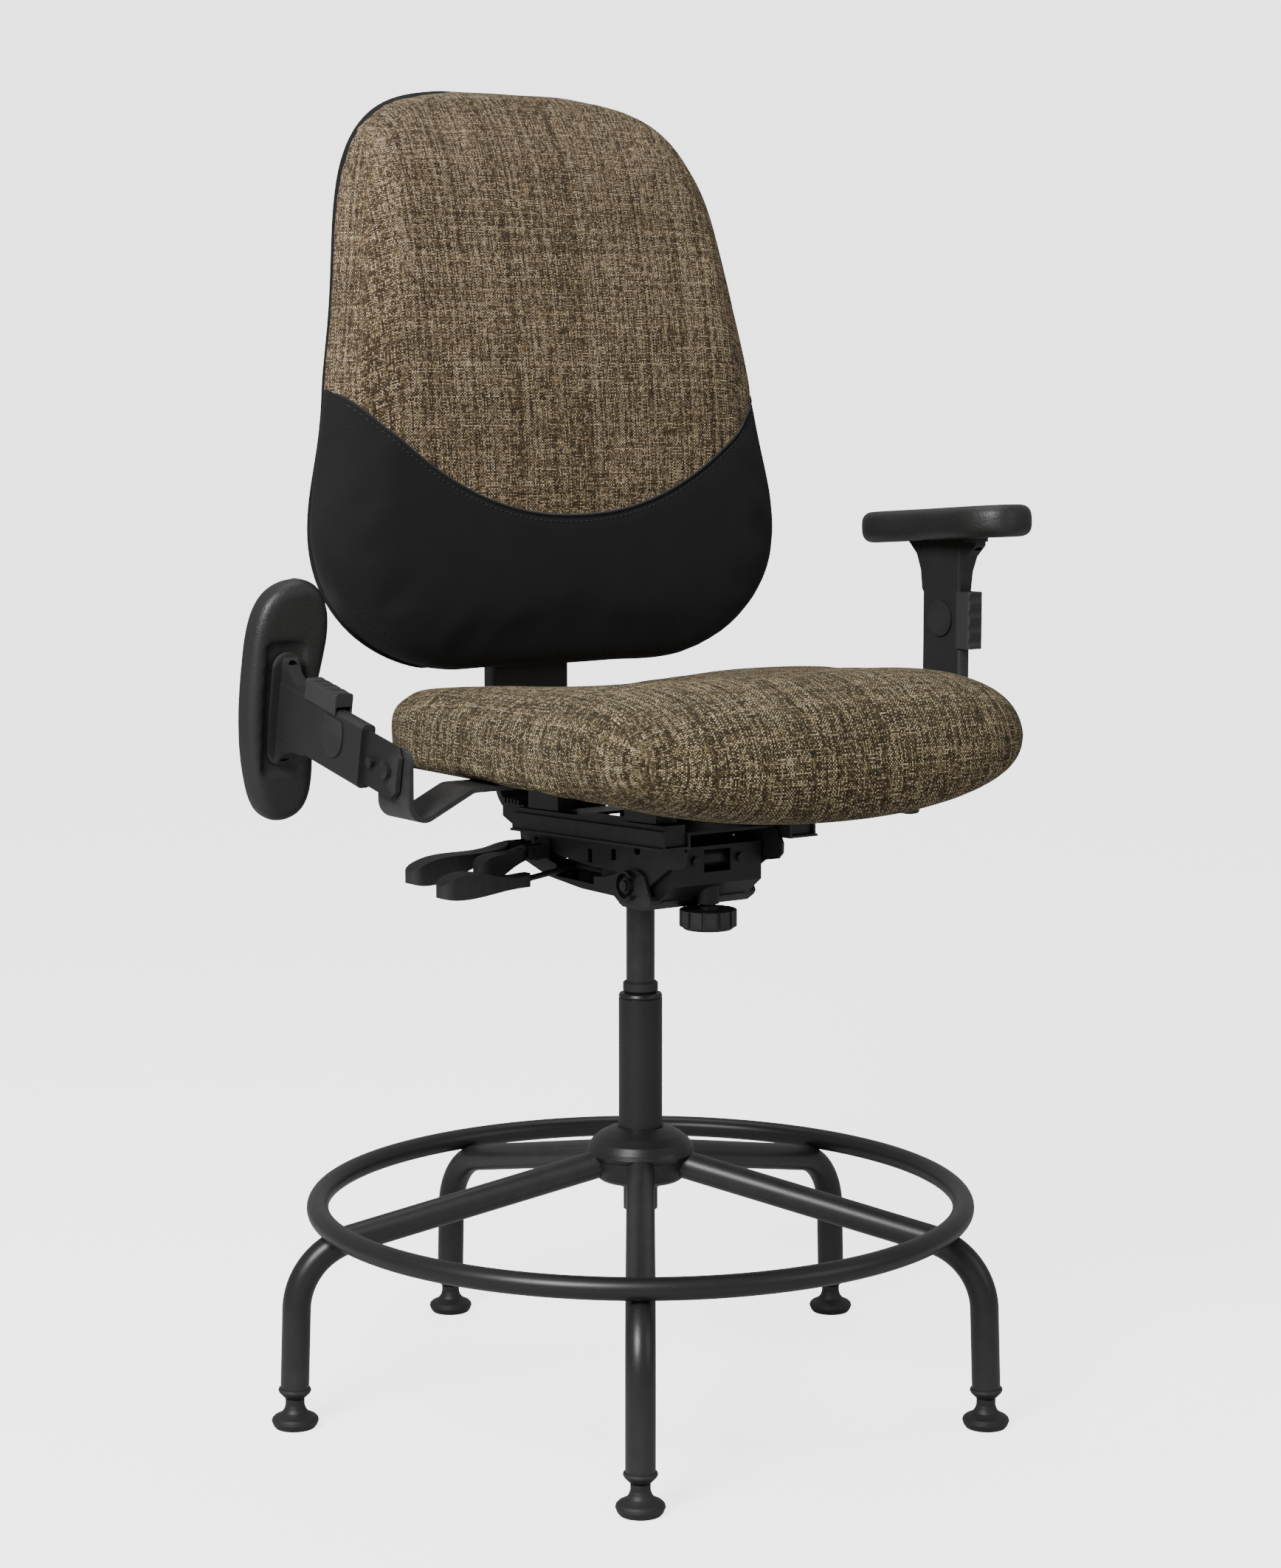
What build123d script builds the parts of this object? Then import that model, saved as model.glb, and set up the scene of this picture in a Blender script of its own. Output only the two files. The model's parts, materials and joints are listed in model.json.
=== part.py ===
from build123d import *
import math
import os

os.makedirs("parts", exist_ok=True)

# ---------------------------------------------------------------------------
# Drafting chair. Millimetres, +Z up, the sitter faces -Y, the floor is Z = 0
# and the lift column stands on the Z axis. +X is the sitter's left.
# ---------------------------------------------------------------------------

# Driving dimensions: base
LEG_COUNT = 5
LEG_TURN = -35.0            # degrees: one leg points this way, from -Y about Z
FOOT_CIRCLE_R = 363.8
LEG_TUBE_R = 14.3
LEG_WALL = 2.0
LEG_BEND_R = 71.0
LEG_SLOPE = 12.4            # degrees down towards the foot
LEG_SPLAY = 2.0             # degrees outwards in the upright stretch
LEG_HUB_Z = 248.0           # leg centreline height where it leaves the hub bore
LEG_START_R = 27.0
RING_R = 329.5
RING_TUBE_R = 11.1
RING_Z = 203.3
GLIDE_R = 23.5
GLIDE_NECK_R = 9.6
GLIDE_HEIGHT = 29.5
GLIDE_STEM_R = 4.8
FERRULE_LIP_R = LEG_TUBE_R + 2.2
PLUG_LENGTH = 22.0
LEG_END_Z = 40.0
HUB_R = 55.4
HUB_TOP_Z = 280.0

# Driving dimensions: column and lift
COLUMN_R = 22.25
COLUMN_WALL = 2.0
COLUMN_TOP_Z = 419.5
COLUMN_FOOT_R = 17.5
COLUMN_FOOT_Z = 195.0
LIFT_R = 14.5
LIFT_WALL = 2.2
LIFT_BOTTOM_Z = 295.0
LIFT_TOP_Z = 545.0
BUSH_LIP_R = LIFT_R + 3.4
BUSH_TOP_Z = 431.0
ROD_R = 5.0
RUN_CLEARANCE = 0.05        # radial clearance of everything that turns or slides in a bore
PIN_R = 3.5

# Driving dimensions: mechanism
MECH_HALF_W = 64.0          # outer face of the curved tray rim
CHEEK_OUT = 60.0            # outer face of the tilting side plates
CHEEK_T = 3.0
BOX_HALF_W = 54.0           # outer face of the inner box
SHEET_T = 3.0
TILT_PIVOT = (-72.0, 544.0)     # y, z of the front cross bolt
RECLINE_PIVOT = (95.0, 556.0)   # y, z of the rear cross bolt
PIVOT_R = 5.0
FRAME_TILT = 2.1            # degrees, front up, at rest
KNOB_Y = -116.0
KNOB_R = 28.0
KNOB_Z = (501.0, 520.5)
KNOB_RIBS = 12
RAIL_OUT = 92.0
RAIL_H = 18.5
RAIL_Y = (-171.0, 95.0)
RAIL_Z = 588.0              # rail underside at the tilt pivot's station, before the tilt
SLIDE_GAP = 0.6
PAN_Z = 658.5               # underside of the seat pan
PAN_T = 8.0
LEVER_PIVOT = (-82.0, 561.0)    # x, z of the tilt and back levers' pin
LEVER_A_Y = 112.0           # tilt lever
LEVER_B_Y = 78.0            # back lever
LEVER_C_Y = 46.0            # height lever
LEVER_C_WINDOW_Y = (-10, 58)
HEIGHT_PIVOT = (-44.0, 548.0)
SLIDE_PIVOT = (130.0, 640.0)
SLIDE_LEVER_Y = -92.0

# Driving dimensions: seat cushion
SEAT_WIDTH = 522.0
SEAT_LENGTH = 553.0
SEAT_REAR_Y = 185.0

# Driving dimensions: backrest
BACK_WIDTH = 566.0
BACK_HEIGHT = 599.0
BACK_BOTTOM_Z = 737.6
BACK_THICK = 84.0
BACK_PARTING = 25.0         # the shell starts this far behind the rim's middle
CARRIAGE_Z = (800.0, 900.0)
CARRIAGE_BACK = 9.0         # carriage material behind the bar
BAR_W = 76.0
BAR_T = 8.0
BAR_Y = 211.0               # middle of the upright's thickness
BAR_TOP_Z = 930.0
BOOT_W = 96.0
BOOT_T = 22.0

# Driving dimensions: arms
ARM_X = 337.0               # middle of the arm post
ARM_PIVOT = (-74.3, 677.6)  # y, z
ARM_SWUNG = 78.7            # degrees: how far the right arm stands swung back
ARM_BAR_W = 50.8
ARM_BAR_T = 5.0
ARM_BAR_TOP = 150.0         # above the pivot
ARM_BAR_BELOW = 17.8
SLEEVE_W = ARM_BAR_W + 2 * 5.6
SLEEVE_T = ARM_BAR_T + 2 * 5.0
SLEEVE_BOTTOM = 34.0        # above the pivot, lowest notch
SLEEVE_LENGTH = 160.0
ARM_NOTCH = 9.0
BRACKET_W = 57.0
BRACKET_T = 5.0
FLANGE_LENGTH = 114.0
FLANGE_WIDTH = 30.0
SCREW_SPREAD = 46.0         # pad screws, each side of the pivot
PAD_LENGTH = 243.0
PAD_WIDTH = 88.0
PAD_THICK = 33.0
PAD_TILT = 4.0
PAD_INSET = 6.0             # pad centre stands this much nearer the seat than the post
TRIGGER_TRAVEL = 3.0
TRIGGER_WRAP = 4.0          # how far its cheeks reach back over the sleeve

PARTS = {}


def keep(name, shape):
    shape.label = name
    PARTS[name] = shape


# ---------------------------------------------------------------------------
# Small helpers
# ---------------------------------------------------------------------------

def block(x, y, z):
    """A box between pairs of limits."""
    size = Box(x[1] - x[0], y[1] - y[0], z[1] - z[0])
    return Pos((x[0] + x[1]) / 2, (y[0] + y[1]) / 2, (z[0] + z[1]) / 2) * size


def rod_z(radius, x, y, z):
    return Pos(x, y, (z[0] + z[1]) / 2) * Cylinder(radius, z[1] - z[0])


def rod_x(radius, x, y, z):
    return Pos((x[0] + x[1]) / 2, y, z) * Rot(0, 90, 0) * Cylinder(radius, x[1] - x[0])


def rod_y(radius, x, y, z):
    return Pos(x, (y[0] + y[1]) / 2, z) * Rot(90, 0, 0) * Cylinder(radius, y[1] - y[0])


def plate_yz(points, x):
    """A closed outline of (y, z) points, extruded between two x values."""
    face = make_face(Plane.YZ * Polyline(*points, close=True))
    return Pos(x[0], 0, 0) * extrude(face, amount=x[1] - x[0], dir=(1, 0, 0))


def plate_xz(points, y):
    """A closed outline of (x, z) points, extruded between two y values."""
    face = make_face(Plane.XZ * Polyline(*points, close=True))
    return Pos(0, y[0], 0) * extrude(face, amount=y[1] - y[0], dir=(0, 1, 0))


def turned(points):
    """A closed outline of (radius, z) points, revolved about Z."""
    face = make_face(Plane.XZ * Polyline(*points, close=True))
    return revolve(face, Axis.Z)


def mirrored(shape):
    return mirror(shape, about=Plane.YZ)


def both_sides(shape):
    return Compound(children=[*shape.solids(), *mirrored(shape).solids()])


def about_pivot(shape, pivot, degrees):
    """Turn a shape about an X axis through (y, z)."""
    y, z = pivot
    return Pos(0, y, z) * Rot(degrees, 0, 0) * Pos(0, -y, -z) * shape


def tilted(shape):
    return about_pivot(shape, TILT_PIVOT, -FRAME_TILT)


# ---------------------------------------------------------------------------
# Base: hub, five bent legs, foot ring, ferrules, glides, column
# ---------------------------------------------------------------------------

def leg_path():
    """Leg centreline in the X-Z plane, from the hub out to the foot."""
    slope = math.tan(math.radians(LEG_SLOPE))
    splay = math.tan(math.radians(LEG_SPLAY))
    foot_x = FOOT_CIRCLE_R - splay * LEG_END_Z
    knee_x = (foot_x - splay * (LEG_HUB_Z + LEG_START_R * slope - LEG_END_Z)) / (1 - splay * slope)
    knee_z = LEG_HUB_Z - (knee_x - LEG_START_R) * slope
    points = [(LEG_START_R, LEG_HUB_Z), (knee_x, knee_z), (foot_x, LEG_END_Z)]
    return Plane.XZ * FilletPolyline(*points, radius=LEG_BEND_R)


def leg_tube(radius):
    path = leg_path()
    return sweep(Plane(path @ 0, z_dir=path % 0) * Circle(radius), path)


def around(shape, index):
    """Copy of a shape that stands on leg 0, moved to another leg."""
    angle = -90 + LEG_TURN + 360 / LEG_COUNT * index
    return Rot(0, 0, angle) * shape


def ring_solid():
    return Pos(0, 0, RING_Z) * Torus(RING_R, RING_TUBE_R)


def column_tube():
    """Outer tube: straight above the hub, swaged down to a narrow foot below it."""
    shoulder = 3.0
    swage_z = 228.0
    floor = 8.0
    inner = COLUMN_R - COLUMN_WALL
    groove_z = COLUMN_TOP_Z - 5.0
    outline = [
        (ROD_R + RUN_CLEARANCE, COLUMN_FOOT_Z), (COLUMN_FOOT_R, COLUMN_FOOT_Z),
        (COLUMN_FOOT_R, swage_z - 6), (COLUMN_R, swage_z), (COLUMN_R, groove_z - 1),
        (COLUMN_R - 0.8, groove_z), (COLUMN_R, groove_z + 1), (COLUMN_R, COLUMN_TOP_Z - shoulder),
        (COLUMN_R - 1, COLUMN_TOP_Z - 0.8), (COLUMN_R - shoulder, COLUMN_TOP_Z),
        (BUSH_LIP_R - 2, COLUMN_TOP_Z), (BUSH_LIP_R - 2, COLUMN_TOP_Z - 2), (inner, COLUMN_TOP_Z - 2),
        (inner, swage_z + 1), (COLUMN_FOOT_R - COLUMN_WALL, swage_z - 5),
        (COLUMN_FOOT_R - COLUMN_WALL, COLUMN_FOOT_Z + floor), (ROD_R + RUN_CLEARANCE, COLUMN_FOOT_Z + floor),
    ]
    return turned(outline)


def ferrule():
    """Plug in the end of leg 0's tube, in line with the tube, with an upright bore for the glide's stem."""
    plug_r = LEG_TUBE_R - LEG_WALL - 0.05
    lip = 9.4
    outline = [
        (0, -lip), (FERRULE_LIP_R - 5.7, -lip), (FERRULE_LIP_R - 4.1, 1.6 - lip),
        (FERRULE_LIP_R - 1.3, -5), (FERRULE_LIP_R, -2.5),
        (FERRULE_LIP_R - 0.6, -0.4), (LEG_TUBE_R + 0.4, 0), (plug_r, 0), (plug_r, PLUG_LENGTH), (0, PLUG_LENGTH),
    ]
    path = leg_path()
    plug = Plane(path @ 1, z_dir=-(path % 1)).location * turned(outline)
    return plug - rod_z(GLIDE_STEM_R + RUN_CLEARANCE, (path @ 1).X, 0, (0, LEG_END_Z + 2 * PLUG_LENGTH))


def glide():
    """Mushroom foot under leg 0, turning on its stem."""
    outline = [
        (0, 0), (GLIDE_R - 3.5, 0), (GLIDE_R - 1.6, 2.4), (GLIDE_R, 6.6), (GLIDE_R - 0.6, 9.0), (GLIDE_R - 2.6, 11.0),
        (GLIDE_R - 7.0, 13.2), (GLIDE_R - 10.6, 15.6), (GLIDE_NECK_R + 1.2, 19.0), (GLIDE_NECK_R, 23.0),
        (GLIDE_NECK_R, GLIDE_HEIGHT - 0.6), (GLIDE_NECK_R - 0.6, GLIDE_HEIGHT), (GLIDE_STEM_R, GLIDE_HEIGHT),
        (GLIDE_STEM_R, LEG_END_Z + PLUG_LENGTH - 4), (0, LEG_END_Z + PLUG_LENGTH - 4),
    ]
    return Pos((leg_path() @ 1).X, 0, 0) * turned(outline)


def build_base():
    legs_outer = [around(leg_tube(LEG_TUBE_R), i) for i in range(LEG_COUNT)]
    dome = [
        (COLUMN_R, HUB_TOP_Z), (25.0, HUB_TOP_Z + 1), (33.0, HUB_TOP_Z - 2), (42.0, HUB_TOP_Z - 6.5),
        (49.5, HUB_TOP_Z - 13), (54.0, HUB_TOP_Z - 19.5), (HUB_R, HUB_TOP_Z - 24.5), (54.0, HUB_TOP_Z - 27),
        (50.5, HUB_TOP_Z - 30), (49.0, HUB_TOP_Z - 40), (46.0, HUB_TOP_Z - 50), (41.5, HUB_TOP_Z - 53.5),
        (26.0, HUB_TOP_Z - 54.5), (25.0, HUB_TOP_Z - 58), (22.5, HUB_TOP_Z - 60),
        (COLUMN_FOOT_R + 1, HUB_TOP_Z - 60), (COLUMN_FOOT_R + 1, HUB_TOP_Z - 59), (COLUMN_R + 0.02, HUB_TOP_Z - 52),
    ]
    hub = turned(dome)
    for leg in legs_outer:
        hub = hub - leg
    keep("hub", hub)
    ring = ring_solid()
    for i, leg in enumerate(legs_outer):
        keep(f"leg_tube_{i + 1}", leg - around(leg_tube(LEG_TUBE_R - LEG_WALL), i) - ring)
    inner_ring = Pos(0, 0, RING_Z) * Torus(RING_R, RING_TUBE_R - 1.6)
    keep("foot_ring", ring - inner_ring)

    keep("leg_ferrules", Compound(children=[around(ferrule(), i).solid() for i in range(LEG_COUNT)]))
    for i in range(LEG_COUNT):
        keep(f"glide_{i + 1}", around(glide(), i))

    keep("column_tube", column_tube())
    bush_inner = LIFT_R + RUN_CLEARANCE
    bush_outline = [
        (bush_inner, COLUMN_TOP_Z - 58), (COLUMN_R - COLUMN_WALL, COLUMN_TOP_Z - 58),
        (COLUMN_R - COLUMN_WALL, COLUMN_TOP_Z - 2), (BUSH_LIP_R - 2, COLUMN_TOP_Z - 2),
        (BUSH_LIP_R - 2, COLUMN_TOP_Z), (BUSH_LIP_R - 0.8, COLUMN_TOP_Z + 1.6), (BUSH_LIP_R, COLUMN_TOP_Z + 2.6),
        (BUSH_LIP_R, BUSH_TOP_Z - 1.5), (BUSH_LIP_R - 1.5, BUSH_TOP_Z), (bush_inner, BUSH_TOP_Z),
    ]
    keep("guide_bushing", turned(bush_outline))
    bearing_z = COLUMN_FOOT_Z + 8.0
    bearing = rod_z(13.0, 0, 0, (bearing_z, bearing_z + 7)) - rod_z(ROD_R + RUN_CLEARANCE, 0, 0, (190, 230))
    keep("thrust_bearing", bearing)


# ---------------------------------------------------------------------------
# Lift: rod with piston, cylinder, release pin
# ---------------------------------------------------------------------------

def build_lift():
    clip_z = COLUMN_FOOT_Z - 4.0
    piston_top = LIFT_BOTTOM_Z + 87.0
    bore_r = LIFT_R - LIFT_WALL
    rod = rod_z(ROD_R, 0, 0, (clip_z - 2, piston_top))
    piston = rod_z(bore_r - RUN_CLEARANCE, 0, 0, (piston_top - 10, piston_top))
    keep("piston_rod", rod + piston)
    clip = rod_z(9.0, 0, 0, (clip_z, COLUMN_FOOT_Z - 0.3)) - rod_z(ROD_R, 0, 0, (clip_z - 5, COLUMN_FOOT_Z))
    keep("rod_clip", clip)
    bumper_z = COLUMN_FOOT_Z + 15.5
    bumper = rod_z(9.5, 0, 0, (bumper_z, bumper_z + 7)) - rod_z(ROD_R, 0, 0, (bumper_z - 2, bumper_z + 9))
    keep("rod_bumper", bumper)

    cylinder = rod_z(LIFT_R, 0, 0, (LIFT_BOTTOM_Z, LIFT_TOP_Z))
    cylinder -= rod_z(bore_r, 0, 0, (LIFT_BOTTOM_Z + 8, LIFT_TOP_Z - 30))
    cylinder -= rod_z(ROD_R + RUN_CLEARANCE, 0, 0, (LIFT_BOTTOM_Z - 1, LIFT_BOTTOM_Z + 9))
    cylinder -= rod_z(PIN_R + RUN_CLEARANCE, 0, 0, (LIFT_TOP_Z - 24, LIFT_TOP_Z + 1))
    keep("lift_cylinder", cylinder)
    keep("release_pin", rod_z(PIN_R, 0, 0, (LIFT_TOP_Z - 20, LIFT_TOP_Z + 6)))


# ---------------------------------------------------------------------------
# Mechanism: fixed tray and box, tilting frame, bolts, levers, knob, rails
# ---------------------------------------------------------------------------

SOCKET_Z = (511.0, 545.0)
PAN_BOTTOM = KNOB_Z[1] + 1.0
TRAY_FLOOR = [(128, 549), (74, 535), (12, 530), (-45, 530), (-60, PAN_BOTTOM), (-95, PAN_BOTTOM), (-131, 548)]
RIM_TOP = [(-96, 556), (-84, 561), (-60, 556), (-30, 547), (4, 543.5), (40, 546), (74, 552), (104, 561), (128, 565)]
BOX_TOP = 586.0


def raised(points, height):
    return [(y, z + height) for y, z in points]


def build_housing():
    tray = plate_yz(TRAY_FLOOR[:-1] + [(-110, 531)] + RIM_TOP, (-MECH_HALF_W, MECH_HALF_W))
    inside = MECH_HALF_W - SHEET_T
    floor_line = raised(TRAY_FLOOR[:-1], SHEET_T)
    tray -= plate_yz([(140, floor_line[0][1])] + floor_line + [(-130, 560), (-130, 600), (140, 600)], (-inside, inside))
    tray -= plate_yz([(-130, 500), (-66, 500), (-104, 526), (-130, 560)], (BOX_HALF_W - 4, MECH_HALF_W + 1))
    tray -= plate_yz([(-130, 500), (-66, 500), (-104, 526), (-130, 560)], (-MECH_HALF_W - 1, 4 - BOX_HALF_W))
    box_line = [(128, 549), *raised(TRAY_FLOOR[1:], 0), (-131, BOX_TOP), (20, BOX_TOP), (128, 574)]
    box_outer = plate_yz(box_line, (-BOX_HALF_W, BOX_HALF_W))
    wall = BOX_HALF_W - SHEET_T
    box_core = [(140, 549 + SHEET_T), *raised(TRAY_FLOOR[1:-1], SHEET_T), (-128, 550), (-128, 600), (140, 600)]
    box_inner = plate_yz(box_core, (-wall, wall))
    housing = tray + (box_outer - box_inner)
    housing += rod_z(22.0, 0, 0, (SOCKET_Z[0], SOCKET_Z[1] - 1))
    housing += rod_z(27.0, 0, 0, (SOCKET_Z[0] + 8, 533))
    housing -= rod_z(LIFT_R, 0, 0, (SOCKET_Z[0] - 5, SOCKET_Z[1] + 5))
    housing -= block((-16, 16), (-140, -120), (560, 582))
    for x in (-27, 27):
        housing += rod_y(4.5, x, (-135, -130), 572)
    housing += rod_z(11.0, 0, KNOB_Y, (KNOB_Z[1] + 6, 548))
    housing -= rod_z(5.0 + RUN_CLEARANCE, 0, KNOB_Y, (500, 560))
    for pivot in (TILT_PIVOT, RECLINE_PIVOT):
        housing -= rod_x(PIVOT_R, *pivot_args(pivot, 80))
    housing -= block((-70, -45), LEVER_C_WINDOW_Y, (537, 560))
    housing -= block((-BOX_HALF_W + SHEET_T, BOX_HALF_W - SHEET_T), (RECLINE_PIVOT[0] + 8, 140), (540, 600))
    housing += lever_mounts()
    keep("mech_housing", housing)

    bolts = []
    for y, z in (TILT_PIVOT, RECLINE_PIVOT):
        bolt = rod_x(PIVOT_R, (-68, 68), y, z)
        for side in (-1, 1):
            bolt += rod_x(8.0, sorted((side * MECH_HALF_W, side * 69)), y, z)
            bolt += rod_x(5.5, sorted((side * 69, side * 72)), y, z)
        bolts.append(bolt.solid())
    keep("pivot_bolts", Compound(children=bolts))


def lever_mounts():
    """Welded ears that carry the lever pins: two outside the tray rim, one pair inside the box."""
    px, pz = LEVER_PIVOT
    ears = block((-MECH_HALF_W - 2.4, -MECH_HALF_W + 0.5), (LEVER_B_Y - 8, LEVER_B_Y + 7), (pz - 9, pz + 12))
    for y in (LEVER_B_Y, LEVER_A_Y):
        for side in (-1, 1):
            wall = sorted((y + side * 4.2, y + side * 7.0))
            ears += block((px - 7, -MECH_HALF_W + 0.5), wall, (pz - 7, pz + 7))
        ears -= rod_y(3.0, px, (y - 20, y + 20), pz)
    cx, cz = HEIGHT_PIVOT
    for y in ((LEVER_C_Y + 5.5, LEVER_C_Y + 8), (-8, -5.5)):
        ears += block((cx - 4, cx + 4), y, (530.5, cz + 5))
    return ears - rod_y(2.5, cx, (-20, LEVER_C_Y + 20), cz)


def pivot_args(pivot, half):
    return (-half, half), pivot[0], pivot[1]


def build_clips():
    """Hooked spring clip round the front bolt and square lock plate on the rear one."""
    y, z = TILT_PIVOT
    x = (MECH_HALF_W + 0.1, MECH_HALF_W + 7)
    hook = rod_x(15.0, x, y, z) - rod_x(12.6, (50, 80), y, z)
    hook -= block((50, 80), (y - 20, y - 3), (z - 9, z + 9))
    y2, z2 = RECLINE_PIVOT
    lock = block((MECH_HALF_W, MECH_HALF_W + 2.4), (y2 - 26, y2 + 2), (z2 - 9, z2 + 13))
    lock += block((MECH_HALF_W, MECH_HALF_W + 7), (y2 - 20, y2 - 2), (z2 + 10, z2 + 17))
    lock -= rod_x(8.2, (50, 90), y2, z2)
    hooks = [*hook.solids(), *mirrored(hook).solids()]
    keep("pivot_clips", Compound(children=hooks + [*lock.solids()]))


def build_tilt_frame():
    """Two cheeks and a top plate that tilt on the front bolt and carry the fixed rails."""
    front, rear = -158.0, 118.0
    top = 601.0
    cheek_line = [
        (rear, 578), (60, 563), (0, 556), (-40, 556), (-86, 538), (-100, 545), (-132, 564), (-154, 567),
        (-161, 573), (-162, 583), (-157, 591), (-150, top), (rear, top),
    ]
    cheek = plate_yz(cheek_line, (CHEEK_OUT - CHEEK_T, CHEEK_OUT))
    cheek -= rod_x(PIVOT_R + RUN_CLEARANCE, (50, 70), *TILT_PIVOT)
    bolt_y, bolt_z = RECLINE_PIVOT
    cheek -= block((50, 70), (bolt_y - 8, bolt_y + 7), (bolt_z - 20, bolt_z + 22))
    cheek -= rod_x(5.5, (50, 70), -81, 580)
    cheek -= block((50, 70), (-2, 5), (560, 574))
    cheek -= block((50, 70), (-44, -36), (566, 577))
    frame = cheek + mirrored(cheek)
    frame += block((-CHEEK_OUT, CHEEK_OUT), (-150, rear), (top - SHEET_T, top))
    frame -= block((-35, 35), (-60, 70), (590, 610))
    keep("tilt_frame", tilted(frame))

    rail_in = CHEEK_OUT
    floor = RAIL_Z + 2.5
    rail = block((rail_in, RAIL_OUT + 2.5), RAIL_Y, (RAIL_Z, floor))
    rail += block((RAIL_OUT - 2.5, RAIL_OUT), RAIL_Y, (RAIL_Z, RAIL_Z + RAIL_H))
    rail += block((rail_in, rail_in + 2.5), RAIL_Y, (RAIL_Z, RAIL_Z + RAIL_H - 4))
    keep("fixed_rails", both_sides(tilted(rail)))


def build_levers():
    """Three hand levers on the sitter's right and the slide lever on the left."""
    def paddle(tip, root, y, width, thick):
        """A dished grip that tapers from the tip to the root, in the X-Z plane."""
        (tip_x, tip_z), (root_x, root_z) = tip, root
        direction = 1 if root_x > tip_x else -1
        grip_len = min(76.0, abs(root_x - tip_x) * 0.72)
        neck_x = tip_x + direction * grip_len
        neck_z = tip_z + (root_z - tip_z) * 0.62
        upper = Spline((tip_x, tip_z + thick * 0.35), (tip_x + direction * 22, tip_z + thick * 0.95),
                       (neck_x, neck_z + thick * 0.42), (root_x, root_z + thick * 0.4))
        lower = Spline((tip_x, tip_z - thick * 0.35), (tip_x + direction * 18, tip_z - thick * 0.5),
                       (neck_x, neck_z - thick * 0.34), (root_x, root_z - thick * 0.4))
        left = Line((tip_x, tip_z - thick * 0.35), (tip_x, tip_z + thick * 0.35))
        right = Line((root_x, root_z - thick * 0.4), (root_x, root_z + thick * 0.4))
        side = Plane.XZ * make_face(Curve([upper, lower, left, right]))
        body = Pos(0, y - width / 2, 0) * extrude(side, amount=width, dir=(0, 1, 0))
        plan = Plane.XY * SlotCenterToCenter(abs(root_x - tip_x) - width + 2, width)
        mask = Pos((root_x + tip_x) / 2, y, tip_z - 60) * extrude(plan, amount=140)
        return body & mask

    def lever(name, tip, pivot_xz, y, width, thick):
        px, pz = pivot_xz
        grip = paddle(tip, (px - 8, pz), y, width, thick)
        eye = rod_y(6.0, px, (y - 4, y + 4), pz) + block((px - 14, px), (y - 4, y + 4), (pz - 4.5, pz + 4.5))
        shape = grip + eye - rod_y(3 + RUN_CLEARANCE, px, (y - 20, y + 20), pz)
        keep(name, shape)

    lever("tilt_lever", (-207, 541), LEVER_PIVOT, LEVER_A_Y, 24, 17)
    lever("back_lever", (-148, 546), LEVER_PIVOT, LEVER_B_Y, 22, 17)

    # Height lever: grip on a thin cranked rod that reaches the release pin
    cx, cz = HEIGHT_PIVOT
    grip = paddle((-211, 535), (-106, 539), LEVER_C_Y, 24, 17)
    rod_start = Vector(-112, LEVER_C_Y, 538.5)
    rod_end = Vector(cx, LEVER_C_Y, cz)
    along = rod_end - rod_start
    rod = extrude(Plane(rod_start, z_dir=along) * Circle(3.0), amount=along.length)
    finger_z = LIFT_TOP_Z + 6 + 0.4 + 3.0
    boss = rod_y(5.5, cx, (-5, LEVER_C_Y + 5), cz)
    finger = block((cx, 4), (-4, 4), (finger_z - 3, finger_z + 3)) + block((cx - 3, cx + 3), (-4, 4), (cz, finger_z + 3))
    grip -= extrude(Plane(rod_start, z_dir=along) * Circle(3.0), amount=along.length)
    keep("height_lever_grip", grip)
    rod_shape = rod + boss + finger - rod_y(2.5 + RUN_CLEARANCE, cx, (-20, 90), cz)
    keep("height_lever_rod", rod_shape)
    pins = [rod_y(2.5, cx, (-9, LEVER_C_Y + 9), cz)]
    px, pz = LEVER_PIVOT
    for y in (LEVER_A_Y, LEVER_B_Y):
        pins.append(rod_y(3.0, px, (y - 8, y + 8), pz))
    keep("lever_pins", Compound(children=[p.solid() for p in pins]))

    # Slide lever on the sitter's left, under the seat pan
    sx, sz = SLIDE_PIVOT
    lever_y = SLIDE_LEVER_Y
    grip = paddle((284, 600), (sx + 34, sz - 5), lever_y, 26, 15)
    arm = block((sx - 4, sx + 60), (lever_y - 5, lever_y + 5), (sz - 7.5, sz - 1.5))
    eye = rod_y(6.0, sx, (lever_y - 5, lever_y + 5), sz - 1)
    shape = grip + arm + eye - rod_y(3 + RUN_CLEARANCE, sx, (lever_y - 20, lever_y + 20), sz - 1)
    keep("slide_lever", shape)


def build_knob():
    z0, z1 = KNOB_Z
    knob = rod_z(KNOB_R - 1.2, 0, KNOB_Y, KNOB_Z)
    knob = chamfer(knob.edges().group_by(Axis.Z)[0], 3.0)
    for i in range(KNOB_RIBS):
        rib = Rot(0, 0, 360 / KNOB_RIBS * i) * block((KNOB_R - 6, KNOB_R), (-5.4, 5.4), (z0 + 3, z1))
        knob += Pos(0, KNOB_Y, 0) * rib
    knob += rod_z(9.5, 0, KNOB_Y, (z1, z1 + 3.5))
    knob -= rod_z(5.0, 0, KNOB_Y, (z0 + 4, 540))
    keep("tension_knob", knob)
    keep("tension_screw", rod_z(5.0, 0, KNOB_Y, (z0 + 4, 556)))
    tube = rod_x(12.0, (-48, 48), -112, 572) - rod_x(9.0, (-60, 60), -112, 572)
    keep("torsion_tube", tube)


# ---------------------------------------------------------------------------
# Seat: moving rails, mount blocks, pan, cushion
# ---------------------------------------------------------------------------

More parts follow.
